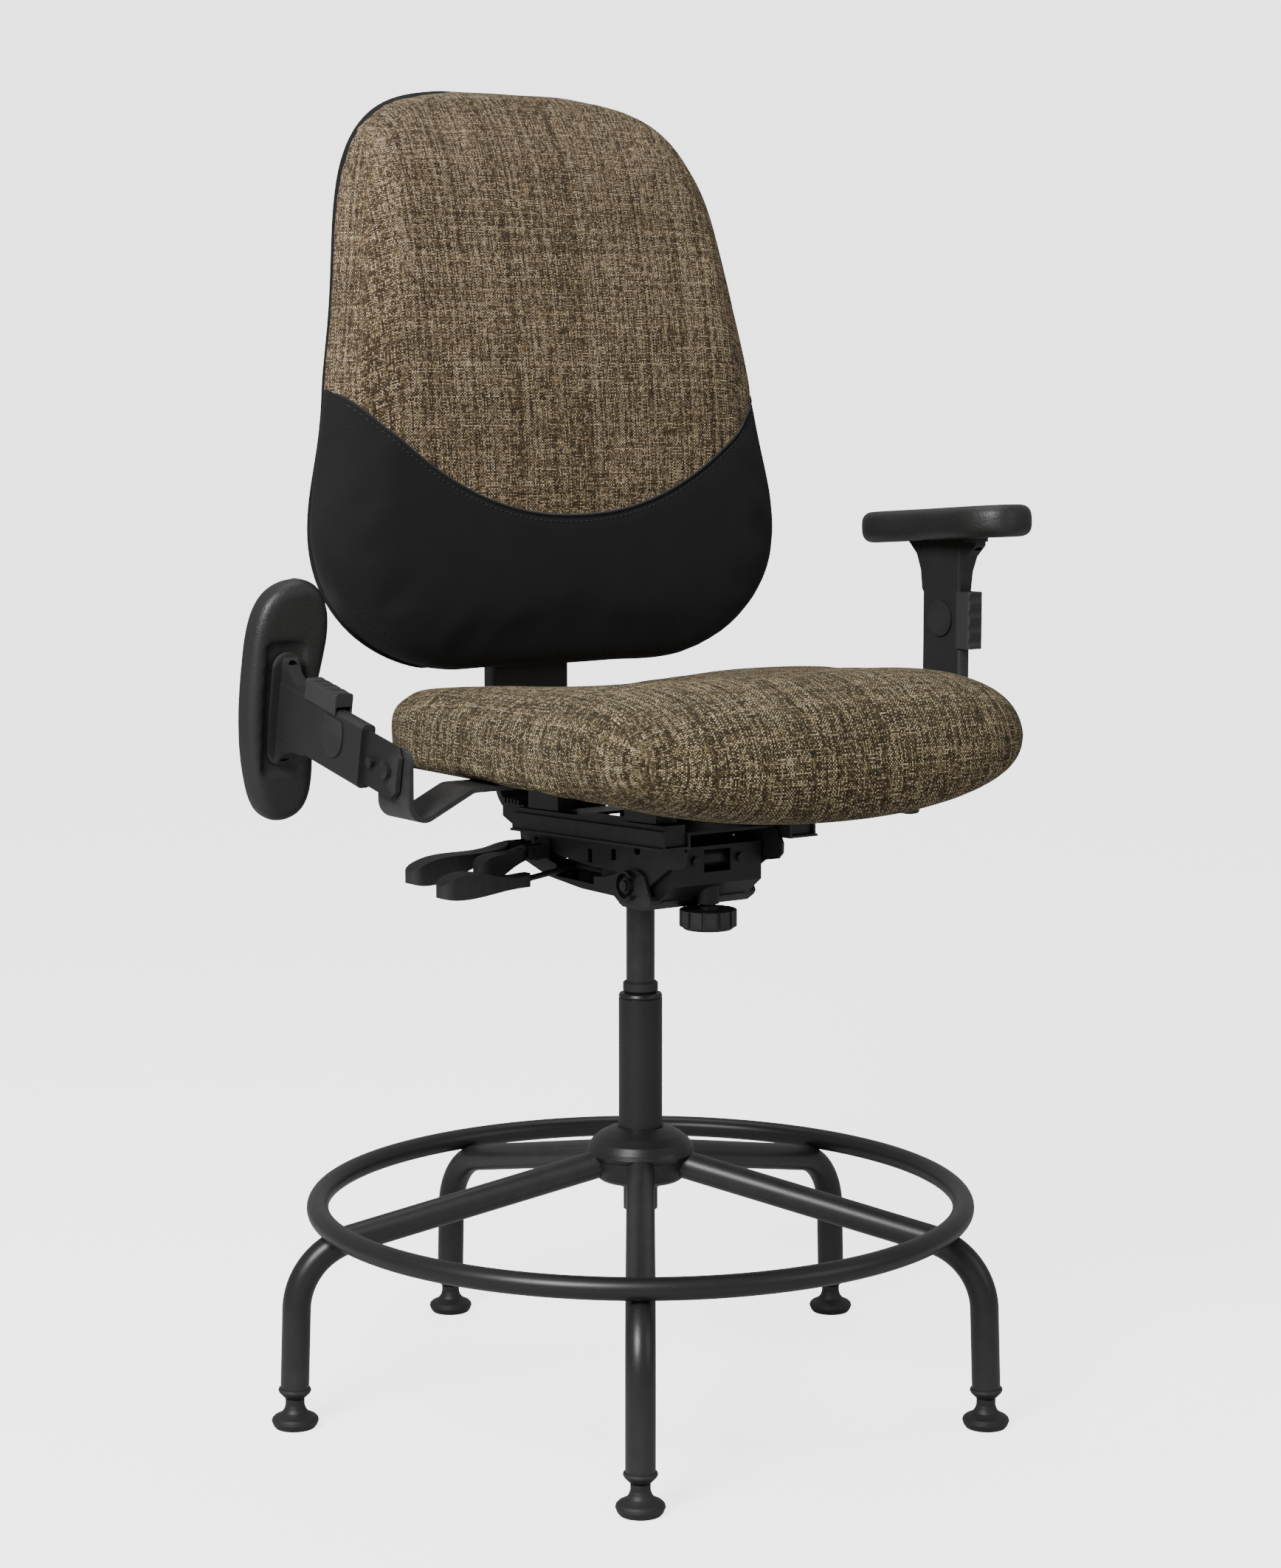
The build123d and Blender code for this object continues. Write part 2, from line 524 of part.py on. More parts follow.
SEAT_STATIONS = [
    # share of the length from the rear, share of the width, underside z, top z,
    # squareness of the lower half, squareness of the upper half (2 is an ellipse)
    (0.000, 0.36, 673, 708, 2.9, 3.4),
    (0.045, 0.66, 659, 722, 3.6, 5.0),
    (0.140, 0.90, 652, 730, 4.0, 6.0),
    (0.300, 0.985, 648, 739, 4.2, 6.0),
    (0.450, 1.00, 646, 746, 3.8, 5.0),
    (0.600, 1.00, 640, 752, 3.2, 4.0),
    (0.750, 0.985, 630, 758, 2.7, 3.4),
    (0.880, 0.925, 624, 757, 2.3, 2.9),
    (0.955, 0.80, 628, 743, 2.0, 2.6),
    (0.988, 0.66, 640, 722, 1.9, 2.3),
    (1.000, 0.54, 655, 702, 1.9, 2.2),
]
SECTION_POINTS = 28


def seat_section(y, width, low, high, square_low, square_high):
    """A smooth closed outline across the seat, squarer or rounder above and below."""
    points = []
    for i in range(SECTION_POINTS):
        turn = 2 * math.pi * i / SECTION_POINTS
        across, up = math.cos(turn), math.sin(turn)
        power = 2 / (square_high if up > 0 else square_low)
        x = math.copysign(abs(across) ** power, across) * width / 2
        z = math.copysign(abs(up) ** power, up) * (high - low) / 2 + (high + low) / 2
        points.append((x, y, z))
    return make_face(Spline(*points, periodic=True))


def seat_solid():
    sections = []
    for along, wide, *shape in SEAT_STATIONS:
        sections.append(seat_section(SEAT_REAR_Y - along * SEAT_LENGTH, wide * SEAT_WIDTH, *shape))
    return loft(sections)


def build_seat():
    rail_gap = SLIDE_GAP
    rail_in = CHEEK_OUT + 2.5 + rail_gap
    rail_out = RAIL_OUT - 2.5 - rail_gap
    low = RAIL_Z + 2.5 + rail_gap
    mover = block((rail_in, rail_out), (RAIL_Y[0] + 4, RAIL_Y[1] - 4), (low, RAIL_Z + RAIL_H + 5))
    keep("moving_rails", both_sides(tilted(mover)))
    rise = math.tan(math.radians(FRAME_TILT))
    top_here = RAIL_Z + RAIL_H + 5

    def rail_top(y):
        return top_here - (y - TILT_PIVOT[0]) * rise + 0.9

    blocks = []
    for y0, y1 in ((-150, -96), (20, 74)):
        line = [(y0, rail_top(y0)), (y1, rail_top(y1)), (y1, PAN_Z), (y0, PAN_Z)]
        for side in (1, -1):
            x = sorted((side * rail_in, side * (rail_out - 2)))
            blocks.append(plate_yz(line, x).solid())
    keep("seat_mounts", Compound(children=blocks))

    pan_len = SEAT_LENGTH - 150
    pan_mid = SEAT_REAR_Y - 36 - pan_len / 2
    pan_plan = Pos(0, pan_mid) * RectangleRounded(SEAT_WIDTH - 60, pan_len, 90)
    pan = Pos(0, 0, PAN_Z) * extrude(pan_plan, amount=PAN_T)
    cushion = seat_solid()
    cushion -= Pos(0, 0, PAN_Z - 40) * extrude(pan_plan, amount=40 + PAN_T)
    bracket_y = (ARM_PIVOT[0] - BRACKET_W / 2 - 1, ARM_PIVOT[0] + BRACKET_W / 2 + 1)
    cushion -= block((-SEAT_WIDTH, SEAT_WIDTH), bracket_y, (PAN_Z - 60, PAN_Z))
    keep("seat_pan", pan)
    keep("seat_cushion", cushion.solids().sort_by(SortBy.VOLUME)[-1])

    sx, sz = SLIDE_PIVOT
    y = SLIDE_LEVER_Y
    hanger = Part()
    for side in (-1, 1):
        hanger += block((sx - 7, sx + 7), sorted((y + side * 5.2, y + side * 8)), (sz - 8, PAN_Z))
    hanger -= rod_y(3.0, sx, (y - 20, y + 20), sz - 1)
    hanger_pin = rod_y(3.0, sx, (y - 9.5, y + 9.5), sz - 1)
    keep("slide_lever_hanger", hanger + hanger_pin)


# ---------------------------------------------------------------------------
# Back: carrier, bar, boot, height carriage, shell, cushion
# ---------------------------------------------------------------------------

BACK_STATIONS = [
    # share of the height, share of the half width, y of the rim, share of the thickness
    (0.000, 0.36, 157, 0.50),
    (0.030, 0.70, 157, 0.72),
    (0.068, 0.825, 157, 0.86),
    (0.146, 0.955, 158, 0.97),
    (0.250, 1.000, 160, 1.00),
    (0.371, 0.958, 163, 1.00),
    (0.500, 0.912, 170, 1.00),
    (0.630, 0.862, 180, 0.98),
    (0.750, 0.820, 194, 0.95),
    (0.854, 0.760, 209, 0.90),
    (0.934, 0.650, 223, 0.80),
    (0.983, 0.455, 234, 0.62),
    (1.000, 0.250, 237, 0.45),
]


def back_rim_y(share):
    """y of the rim's middle at a share of the back's height."""
    for low, high in zip(BACK_STATIONS, BACK_STATIONS[1:]):
        if share <= high[0]:
            blend = (share - low[0]) / (high[0] - low[0])
            return low[2] + (high[2] - low[2]) * blend
    return BACK_STATIONS[-1][2]


def back_solid():
    sections = []
    for up, wide, y, thick in BACK_STATIONS:
        z = BACK_BOTTOM_Z + up * BACK_HEIGHT
        width = wide * BACK_WIDTH
        depth = thick * BACK_THICK
        plane = Plane((0, y, z), x_dir=(1, 0, 0), z_dir=(0, 0, 1))
        sections.append(plane * RectangleRounded(width, depth, depth * 0.46))
    return loft(sections)


def build_back():
    py, pz = RECLINE_PIVOT
    bend = 30.0
    rear = BAR_Y - bend - 1.0
    carrier_line = [
        (py - 9, pz - 4), (py - 4, pz - 8), (py + 4, pz - 8), (py + 36, pz - 3), (py + 50, pz + 4),
        (py + 52, pz + 16), (rear, pz + 28), (rear, pz + 44), (py + 45, pz + 44), (py + 24, pz + 14),
        (py + 2, pz + 9), (py - 7, pz + 6),
    ]
    ear_in = BOX_HALF_W - SHEET_T - 1.0
    carrier = plate_yz(carrier_line, (-ear_in, ear_in))
    carrier -= block((-34, 34), (py - 30, py + 22), (pz - 30, pz + 30))
    carrier -= rod_x(PIVOT_R + RUN_CLEARANCE, (-80, 80), py, pz)
    bar_z = pz + 34
    bar_path = FilletPolyline((py + 48, bar_z), (BAR_Y, bar_z), (BAR_Y, BAR_TOP_Z), radius=bend)
    path = Plane.YZ * bar_path
    section = Plane(path @ 0, x_dir=(1, 0, 0), z_dir=path % 0) * Rectangle(BAR_W, BAR_T)
    bar = sweep(section, path)
    carrier -= block((-BAR_W / 2, BAR_W / 2), (py + 47.9, py + 120), (bar_z - BAR_T / 2, bar_z + BAR_T / 2))
    for i in range(5):
        y = py + 50 + i * 6.5
        carrier += block((-ear_in - 3, ear_in + 3), (y, y + 3.2), (pz + 43, pz + 48))
    keep("back_carrier", carrier)
    keep("back_bar", bar)

    boot_z = (648.0, 775.0)
    boot = block((-BOOT_W / 2, BOOT_W / 2), (BAR_Y - BOOT_T / 2, BAR_Y + BOOT_T / 2), boot_z)
    boot = fillet(boot.edges().filter_by(Axis.Z), 6.0)
    boot -= block((-BAR_W / 2, BAR_W / 2), (BAR_Y - BAR_T / 2, BAR_Y + BAR_T / 2), (600, 800))
    keep("bar_boot", boot)

    full = back_solid()
    rear_line = []
    steps = 12
    for i in range(steps + 1):
        share = -0.02 + 1.04 * i / steps
        clamped = min(max(share, 0.0), 1.0)
        rear_line.append((back_rim_y(clamped) + BACK_PARTING, BACK_BOTTOM_Z + share * BACK_HEIGHT))
    region = [*rear_line, (420, BACK_BOTTOM_Z + 1.02 * BACK_HEIGHT), (420, BACK_BOTTOM_Z - 0.02 * BACK_HEIGHT)]
    rear = plate_yz(region, (-BACK_WIDTH, BACK_WIDTH))
    keep("back_shell", full & rear)
    keep("back_cushion", full - rear)

    low_share = (CARRIAGE_Z[0] - BACK_BOTTOM_Z) / BACK_HEIGHT
    inside_shell = back_rim_y(low_share) + BACK_PARTING
    rear_face = BAR_Y + BAR_T / 2 + CARRIAGE_BACK
    slot = SLIDE_GAP
    carriage = block((-58, 58), (inside_shell, rear_face), CARRIAGE_Z)
    carriage = fillet(carriage.edges().filter_by(Axis.Z), 4.0)
    half_w = BAR_W / 2 + slot
    half_t = BAR_T / 2 + slot
    slot_z = (CARRIAGE_Z[0] - 10, CARRIAGE_Z[1] + 10)
    carriage -= block((-half_w, half_w), (BAR_Y - half_t, BAR_Y + half_t), slot_z)
    carriage -= full
    keep("back_carriage", carriage.solids().sort_by(SortBy.VOLUME)[-1])
    knob_z = sum(CARRIAGE_Z) / 2
    knob = rod_y(19.0, 0, (rear_face + 3, rear_face + 20), knob_z)
    knob += rod_y(8.0, 0, (rear_face, rear_face + 3), knob_z)
    for i in range(8):
        notch = Rot(0, 45 * i, 0) * Pos(21.5, 0, 0) * Rot(90, 0, 0) * Cylinder(4.0, 60)
        knob -= Pos(0, rear_face, knob_z) * notch
    keep("back_height_knob", knob)


# ---------------------------------------------------------------------------
# Arms, built upright on the sitter's left and mirrored for the right
# ---------------------------------------------------------------------------

def arm_bracket():
    y0 = ARM_PIVOT[0] - BRACKET_W / 2
    upright_x = ARM_X - ARM_BAR_T / 2 - 1.8 - BRACKET_T / 2
    flat_z = PAN_Z - BRACKET_T / 2
    slope = math.tan(math.radians(26))
    lead_x = 262.0
    dip_z = flat_z - (upright_x - lead_x) * slope
    top_z = ARM_PIVOT[1] + 21
    path = FilletPolyline((150, flat_z), (lead_x, flat_z), (upright_x, dip_z), (upright_x, top_z), radius=15)
    path = Pos(0, y0, 0) * (Plane.XZ * path)
    section = Plane(path @ 0, x_dir=(0, 1, 0), z_dir=path % 0) * Rectangle(BRACKET_W, BRACKET_T)
    bar = Pos(0, BRACKET_W / 2, 0) * sweep(section, path, transition=Transition.ROUND)
    bolt_x = (upright_x - BRACKET_T / 2 - 4, ARM_X + ARM_BAR_T / 2 + 5)
    top_edges = bar.edges().filter_by(Axis.X).group_by(Axis.Z)[-1]
    bar = fillet(top_edges, 13.0)
    bar -= rod_x(PIVOT_R, bolt_x, *ARM_PIVOT)
    return bar, bolt_x


def sleeve_solids(lift):
    """Sleeve, its trigger and its cap at a height above the lowest notch."""
    py, pz = ARM_PIVOT
    low = pz + SLEEVE_BOTTOM + lift
    top = low + SLEEVE_LENGTH
    half = SLEEVE_W / 2
    web_x = (ARM_X - SLEEVE_T / 2, ARM_X + SLEEVE_T / 2)
    sleeve = block(web_x, (py - half, py + half), (low, top))
    sleeve = fillet(sleeve.edges().filter_by(Axis.Z), 5.0)
    for side in (-1, 1):
        edge = py + side * half
        reach = FLANGE_LENGTH / 2 - half - 4
        sleeve += plate_yz([(edge - side * 6, top), (edge + side * reach, top), (edge + side * reach, top - 4),
                            (edge + side * reach * 0.42, top - 16), (edge + side * reach * 0.12, top - 32),
                            (edge, top - 52), (edge - side * 6, top - 60)], (web_x[0] + 0.5, web_x[1] - 0.5))
    plate_plan = Pos(ARM_X, py) * Rot(0, 0, 90) * SlotOverall(FLANGE_LENGTH, FLANGE_WIDTH)
    sleeve += Pos(0, 0, top) * extrude(plate_plan, amount=5)
    cavity = block((ARM_X - ARM_BAR_T / 2 - 0.3, ARM_X + ARM_BAR_T / 2 + 0.3),
                   (py - ARM_BAR_W / 2 - 0.3, py + ARM_BAR_W / 2 + 0.3), (low - 1, top - 20))
    sleeve -= cavity
    flap_z = low + 52
    flap = Pos(web_x[1], py - 8, flap_z) * Rot(0, 90, 0) * extrude(SlotOverall(46, 38, rotation=90), amount=1.4)
    flap_front = py - half + TRIGGER_WRAP + TRIGGER_TRAVEL + 0.6
    flap -= block((web_x[1] - 1, web_x[1] + 4), (py - half - 30, flap_front), (flap_z - 40, flap_z + 40))
    sleeve += flap

    trig_z = (low + 49, low + 108)
    gap = TRIGGER_TRAVEL + 0.4
    front = py - half
    wide = SLEEVE_T / 2 + 0.4 + 1.6
    trigger = block((ARM_X - wide, ARM_X + wide), (front - gap - 13, front + TRIGGER_WRAP), trig_z)
    front_edges = trigger.edges().filter_by(Axis.Z).group_by(Axis.Y)[0]
    trigger = fillet(front_edges, 3.0)
    trigger -= block((ARM_X - wide + 1.6, ARM_X + wide - 1.6), (front - gap, front + 40), (low, top))
    for i in range(4):
        z = trig_z[0] + 7 + i * 15.0
        trigger -= rod_x(9.0, (ARM_X - 30, ARM_X + 30), front - gap - 20.5, z)

    cap = rod_x(18.8, (web_x[0] - 2.4, web_x[0]), py, low + 79)
    screws = []
    for side in (-1, 1):
        head = rod_z(5.5, ARM_X, py + side * SCREW_SPREAD, (top - 2.6, top - 0.02))
        screw_y = py + side * SCREW_SPREAD
        recess = block((ARM_X - 3, ARM_X + 3), (screw_y - 0.7, screw_y + 0.7), (top - 3, top - 1.4))
        recess += block((ARM_X - 0.7, ARM_X + 0.7), (screw_y - 3, screw_y + 3), (top - 3, top - 1.4))
        screws.append((head - recess).solid())
    for screw in screws:
        sleeve -= rod_z(5.5, ARM_X, screw.center().Y, (top - 9, top - 0.02))
    return sleeve, trigger, cap, screws, top + 5


def pad_solid(base_z):
    """Kidney-shaped pad, thick in the middle, with a shallow pocket for the sleeve's flange."""
    py = ARM_PIVOT[0] - 4
    x = ARM_X - PAD_INSET
    half_l, half_w = PAD_LENGTH / 2, PAD_WIDTH / 2
    plan = Spline(
        (x - half_w * 0.20, py - half_l), (x + half_w * 0.62, py - half_l * 0.86), (x + half_w * 0.98, py - half_l * 0.35),
        (x + half_w, py + half_l * 0.15), (x + half_w * 0.80, py + half_l * 0.66), (x + half_w * 0.28, py + half_l * 0.97),
        (x - half_w * 0.42, py + half_l * 0.93), (x - half_w * 0.74, py + half_l * 0.55),
        (x - half_w * 0.70, py + half_l * 0.05), (x - half_w * 0.92, py - half_l * 0.45),
        (x - half_w * 0.86, py - half_l * 0.82), periodic=True)
    low = base_z - 5
    pad = Pos(0, 0, low) * extrude(make_face(plan), amount=PAD_THICK)
    pad = fillet(pad.edges().group_by(Axis.Z)[-1], 11)
    pad = fillet(pad.edges().group_by(Axis.Z)[0], 11)
    pocket = Pos(ARM_X, ARM_PIVOT[0]) * RectangleRounded(44, 134, 8)
    return pad - Pos(0, 0, low - 1) * extrude(pocket, amount=6)


ARM_BOLTS = []


def build_arm(side, lift, swing):
    """side is 1 for the sitter's left; swing turns the arm back about its pivot."""
    name = "left" if side > 0 else "right"
    py, pz = ARM_PIVOT

    def place(shape):
        shape = shape if side > 0 else mirrored(shape)
        return about_pivot(shape, ARM_PIVOT, -swing) if swing else shape

    bracket, bolt_x = arm_bracket()
    keep(f"arm_bracket_{name}", bracket if side > 0 else mirrored(bracket))
    bolt = rod_x(PIVOT_R, bolt_x, py, pz) + rod_x(8.0, (bolt_x[1] - 4.9, bolt_x[1]), py, pz)
    bolt += rod_x(8.0, (bolt_x[0], bolt_x[0] + 3.9), py, pz)
    bolt += rod_x(8.0, (ARM_X - ARM_BAR_T / 2 - 1.7, ARM_X - ARM_BAR_T / 2 - 0.1), py, pz)
    ARM_BOLTS.append((bolt if side > 0 else mirrored(bolt)).solid())

    half = ARM_BAR_W / 2
    low, high = pz - ARM_BAR_BELOW, pz + ARM_BAR_TOP
    bar = plate_yz([(py - half, low + 9), (py - half + 9, low), (py + half - 9, low), (py + half, low + 9),
                    (py + half, high), (py - half, high)], (ARM_X - ARM_BAR_T / 2, ARM_X + ARM_BAR_T / 2))
    bar -= rod_x(PIVOT_R + RUN_CLEARANCE, (ARM_X - 20, ARM_X + 20), py, pz)
    bar += rod_x(5.0, (ARM_X + ARM_BAR_T / 2, ARM_X + ARM_BAR_T / 2 + 5), py, pz + 27)
    keep(f"arm_bar_{name}", place(bar))

    sleeve, trigger, cap, screws, flange_top = sleeve_solids(lift)
    pad = pad_solid(flange_top)
    pad = Pos(0, py, flange_top) * Rot(-PAD_TILT, 0, 0) * Pos(0, -py, -flange_top) * pad
    sleeve += cap
    keep(f"arm_sleeve_{name}", place(sleeve))
    keep(f"arm_trigger_{name}", place(trigger))
    keep(f"arm_pad_{name}", place(pad - sleeve))
    pieces = [place(s) for s in screws]
    keep(f"arm_pad_screws_{name}", Compound(children=[p.solid() for p in pieces]))


build_base()
build_lift()
build_housing()
build_clips()
build_tilt_frame()
build_levers()
build_knob()
build_seat()
build_back()
build_arm(1, 0.0, 0.0)
build_arm(-1, ARM_NOTCH, ARM_SWUNG)
keep("arm_pivot_bolts", Compound(children=ARM_BOLTS))

for node, shape in PARTS.items():
    export_step(shape, f"parts/{node}.step")
print(len(PARTS), "nodes")
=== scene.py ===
"""Drafting chair: the looks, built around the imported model. Metres, +Z up, the sitter faces -Y."""
import json
import math

import bmesh
import bpy
import numpy as np
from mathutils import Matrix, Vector
from mathutils.bvhtree import BVHTree


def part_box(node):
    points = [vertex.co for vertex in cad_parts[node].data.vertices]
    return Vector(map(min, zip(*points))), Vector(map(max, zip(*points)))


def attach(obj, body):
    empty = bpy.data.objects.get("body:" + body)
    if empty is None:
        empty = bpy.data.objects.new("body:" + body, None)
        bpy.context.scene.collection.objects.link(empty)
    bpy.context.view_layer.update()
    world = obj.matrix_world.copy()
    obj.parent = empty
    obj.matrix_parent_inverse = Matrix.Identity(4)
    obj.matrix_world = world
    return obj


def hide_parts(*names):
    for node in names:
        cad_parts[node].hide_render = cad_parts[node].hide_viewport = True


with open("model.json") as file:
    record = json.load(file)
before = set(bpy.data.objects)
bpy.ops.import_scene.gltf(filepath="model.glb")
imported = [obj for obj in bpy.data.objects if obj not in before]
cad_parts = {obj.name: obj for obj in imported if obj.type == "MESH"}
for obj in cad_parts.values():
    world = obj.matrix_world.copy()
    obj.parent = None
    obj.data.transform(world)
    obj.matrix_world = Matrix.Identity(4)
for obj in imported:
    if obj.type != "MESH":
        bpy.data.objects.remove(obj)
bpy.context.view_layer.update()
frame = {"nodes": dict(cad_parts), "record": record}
NODES = frame["nodes"]
SLOT_OF = {row["node"]: row["material_slot"] for row in frame["record"]["subparts"]}

# Viewing angle and studio
CAMERA_AZIMUTH = math.radians(-35)
CAMERA_PITCH = math.radians(7.22)
CAMERA_DISTANCE = 3.2556
CAMERA_HEIGHT = 1.0448
CAMERA_LENS = 74.70
SENSOR = 36.0
FLOOR_HALF = 60.0
FLOOR_TONE = 0.50            # share of the light that the floor throws back
FLOOR_LOOK = 0.90            # and how pale it looks
SOFT_LIGHT = 0.35            # strength of the even light from all round
BACKDROP_GLOW = 2.6          # how much brighter the backdrop looks than the light it gives

# Fabric sizes
THREAD = 0.0016             # width of one thread of the tweed
THREAD_SWAY = 0.0022        # how far its threads wander
SLUB_THREADS = 5.0          # how many crossings a slub runs over
TWILL_RIB = 0.0014
SEAM_LOW = 0.899            # height of the back's seam on the centre line
SEAM_RISE = 0.128           # how much higher the seam is at the sides
SEAM_REACH = 0.257          # distance from the centre line to the sides
SEAM_POWER = 2.2
SEAT_ROLL_Y = -0.290        # the seat's front roll bends round this line
SEAT_ROLL_Z = 0.690
SEAT_ROLL_R = 0.072
SEAT_SIDE_X = 0.200         # and its sides round this one
SEAT_SIDE_R = 0.058
# A stitch's rings: share of its length, rise and thickness in radii
STITCH_SHAPE = ((0.0, -0.3, 0.4), (0.2, 0.5, 1.0), (0.5, 0.9, 1.0), (0.8, 0.5, 1.0), (1.0, -0.3, 0.4))
STITCH_SIDES = 6
SIM_FRAMES = 20
COVER_RISE = 0.006          # the most that a cover rises when it is blown up


# ---------------------------------------------------------------------------
# Node material helpers
# ---------------------------------------------------------------------------

def put(tree, socket, value):
    """Link a socket, or set its own value."""
    if isinstance(value, bpy.types.NodeSocket):
        tree.links.new(value, socket)
    else:
        socket.default_value = value


def node(tree, kind, values=None, **settings):
    made = tree.nodes.new(kind)
    for key, value in settings.items():
        setattr(made, key, value)
    for key, value in (values or {}).items():
        put(tree, made.inputs[key], value)
    return made


def calc(tree, operation, a, b=0.0, c=0.0):
    made = node(tree, "ShaderNodeMath", {0: a, 1: b}, operation=operation)
    if operation in ("MULTIPLY_ADD", "SMOOTH_MIN", "WRAP"):
        put(tree, made.inputs[2], c)
    return made.outputs[0]


def between(tree, value, low, high):
    """0 below low, 1 above high, straight between them."""
    made = node(tree, "ShaderNodeMapRange", {"Value": value, "From Min": low, "From Max": high})
    return made.outputs["Result"]


def mix_colour(tree, factor, a, b):
    made = node(tree, "ShaderNodeMix", {0: factor, 6: a, 7: b}, data_type="RGBA")
    return made.outputs[2]


def mix_value(tree, factor, a, b):
    made = node(tree, "ShaderNodeMix", {0: factor, 2: a, 3: b}, data_type="FLOAT")
    return made.outputs[0]


def ramp(tree, factor, stops):
    made = node(tree, "ShaderNodeValToRGB", {"Fac": factor})
    elements = made.color_ramp.elements
    while len(elements) < len(stops):
        elements.new(0.5)
    for element, (place, colour) in zip(elements, stops):
        element.position = place
        element.color = colour
    return made.outputs["Color"]


def noise(tree, place, scale, detail=2.0, rough=0.5, dimensions="3D"):
    values = {"Vector": place, "Scale": scale, "Detail": detail, "Roughness": rough}
    return node(tree, "ShaderNodeTexNoise", values, noise_dimensions=dimensions).outputs[0]


def bump(tree, height, distance, strength=1.0):
    values = {"Height": height, "Distance": distance, "Strength": strength}
    return node(tree, "ShaderNodeBump", values).outputs["Normal"]


def shifted(tree, place, scale, amounts):
    """A place moved about by a noise."""
    values = {"Vector": place, "Scale": scale, "Detail": 2.0}
    wander = node(tree, "ShaderNodeTexNoise", values).outputs["Color"]
    step = node(tree, "ShaderNodeVectorMath", {0: wander, 1: amounts}, operation="MULTIPLY").outputs[0]
    return node(tree, "ShaderNodeVectorMath", {0: place, 1: step}, operation="ADD").outputs[0]


def grey(level, alpha=1.0):
    return (level, level, level, alpha)


def new_material(name):
    """A material with an empty Principled shader; returns it, its tree, its shader and the place socket."""
    material = bpy.data.materials.new(name)
    material.use_nodes = True
    tree = material.node_tree
    tree.nodes.clear()
    shader = tree.nodes.new("ShaderNodeBsdfPrincipled")
    output = tree.nodes.new("ShaderNodeOutputMaterial")
    tree.links.new(shader.outputs[0], output.inputs[0])
    place = tree.nodes.new("ShaderNodeTexCoord").outputs["Object"]
    return material, tree, shader, place


# ---------------------------------------------------------------------------
# Hard materials
# ---------------------------------------------------------------------------

def coated_metal(name, dark, light, rough, peel=0.00006):
    """Satin powder coat: orange peel, slight mottling, scuffs, and paint thinned along the edges."""
    material, tree, shader, place = new_material(name)
    mottle = noise(tree, place, 16.0, 4.0)
    base = mix_colour(tree, mottle, dark, light)
    scuff = between(tree, noise(tree, place, 120.0, 6.0, 0.7), 0.60, 0.72)
    edge = node(tree, "ShaderNodeNewGeometry").outputs["Pointiness"]
    worn = calc(tree, "MULTIPLY", between(tree, edge, 0.54, 0.62), noise(tree, place, 60.0, 3.0))
    base = mix_colour(tree, calc(tree, "MULTIPLY", worn, 0.35), base, grey(0.10))
    put(tree, shader.inputs["Base Color"], base)
    put(tree, shader.inputs["Roughness"], mix_value(tree, scuff, rough, rough + 0.14))
    shader.inputs["Specular IOR Level"].default_value = 0.42
    fine = noise(tree, place, 900.0, 2.0)
    broad = noise(tree, place, 260.0, 1.0)
    height = calc(tree, "ADD", fine, calc(tree, "MULTIPLY", broad, 0.6))
    put(tree, shader.inputs["Normal"], bump(tree, height, peel))
    return material


def moulded_plastic(name, dark, light, rough, grain=1500.0, depth=0.00008):
    """Black moulded plastic with a spark-eroded grain, a faint bloom and lighter convex edges."""
    material, tree, shader, place = new_material(name)
    bloom = noise(tree, place, 22.0, 5.0, 0.6)
    edge = node(tree, "ShaderNodeNewGeometry").outputs["Pointiness"]
    # Convex edges are made lighter in colour, evenly on every edge.
    edge_lightening = calc(tree, "MULTIPLY", between(tree, edge, 0.53, 0.60), 0.5)
    base = mix_colour(tree, bloom, dark, light)
    put(tree, shader.inputs["Base Color"], mix_colour(tree, edge_lightening, base, grey(0.045)))
    put(tree, shader.inputs["Roughness"], mix_value(tree, bloom, rough - 0.05, rough + 0.08))
    shader.inputs["Specular IOR Level"].default_value = 0.40
    cells = node(tree, "ShaderNodeTexVoronoi", {"Vector": place, "Scale": grain})
    height = calc(tree, "ADD", cells.outputs["Distance"], noise(tree, place, grain * 0.6, 2.0))
    put(tree, shader.inputs["Normal"], bump(tree, height, depth))
    return material


def black_oxide(name):
    """Blackened steel hardware: blotchy oxide, a trace of oil and a few pale specks."""
    material, tree, shader, place = new_material(name)
    blotch = noise(tree, place, 70.0, 5.0, 0.65)
    oxide = [(0.30, grey(0.022)), (0.52, grey(0.040)), (0.75, (0.060, 0.057, 0.052, 1))]
    base = ramp(tree, blotch, oxide)
    speck = between(tree, noise(tree, place, 700.0, 2.0), 0.68, 0.76)
    put(tree, shader.inputs["Base Color"], mix_colour(tree, speck, base, grey(0.11)))
    shader.inputs["Metallic"].default_value = 0.6
    put(tree, shader.inputs["Roughness"], mix_value(tree, blotch, 0.36, 0.54))
    stretched = node(tree, "ShaderNodeMapping", {"Vector": place, "Scale": (0.06, 1.0, 1.0)}).outputs[0]
    put(tree, shader.inputs["Normal"], bump(tree, noise(tree, stretched, 1600.0, 2.0), 0.00003))
    return material


def rubber(name):
    """Matte rubber with mould dust and a soft, uneven surface."""
    material, tree, shader, place = new_material(name)
    dust = between(tree, noise(tree, place, 45.0, 6.0, 0.7), 0.5, 0.8)
    put(tree, shader.inputs["Base Color"], mix_colour(tree, dust, grey(0.014), grey(0.030)))
    put(tree, shader.inputs["Roughness"], mix_value(tree, dust, 0.62, 0.80))
    put(tree, shader.inputs["Normal"], bump(tree, noise(tree, place, 600.0, 3.0), 0.0001))
    return material


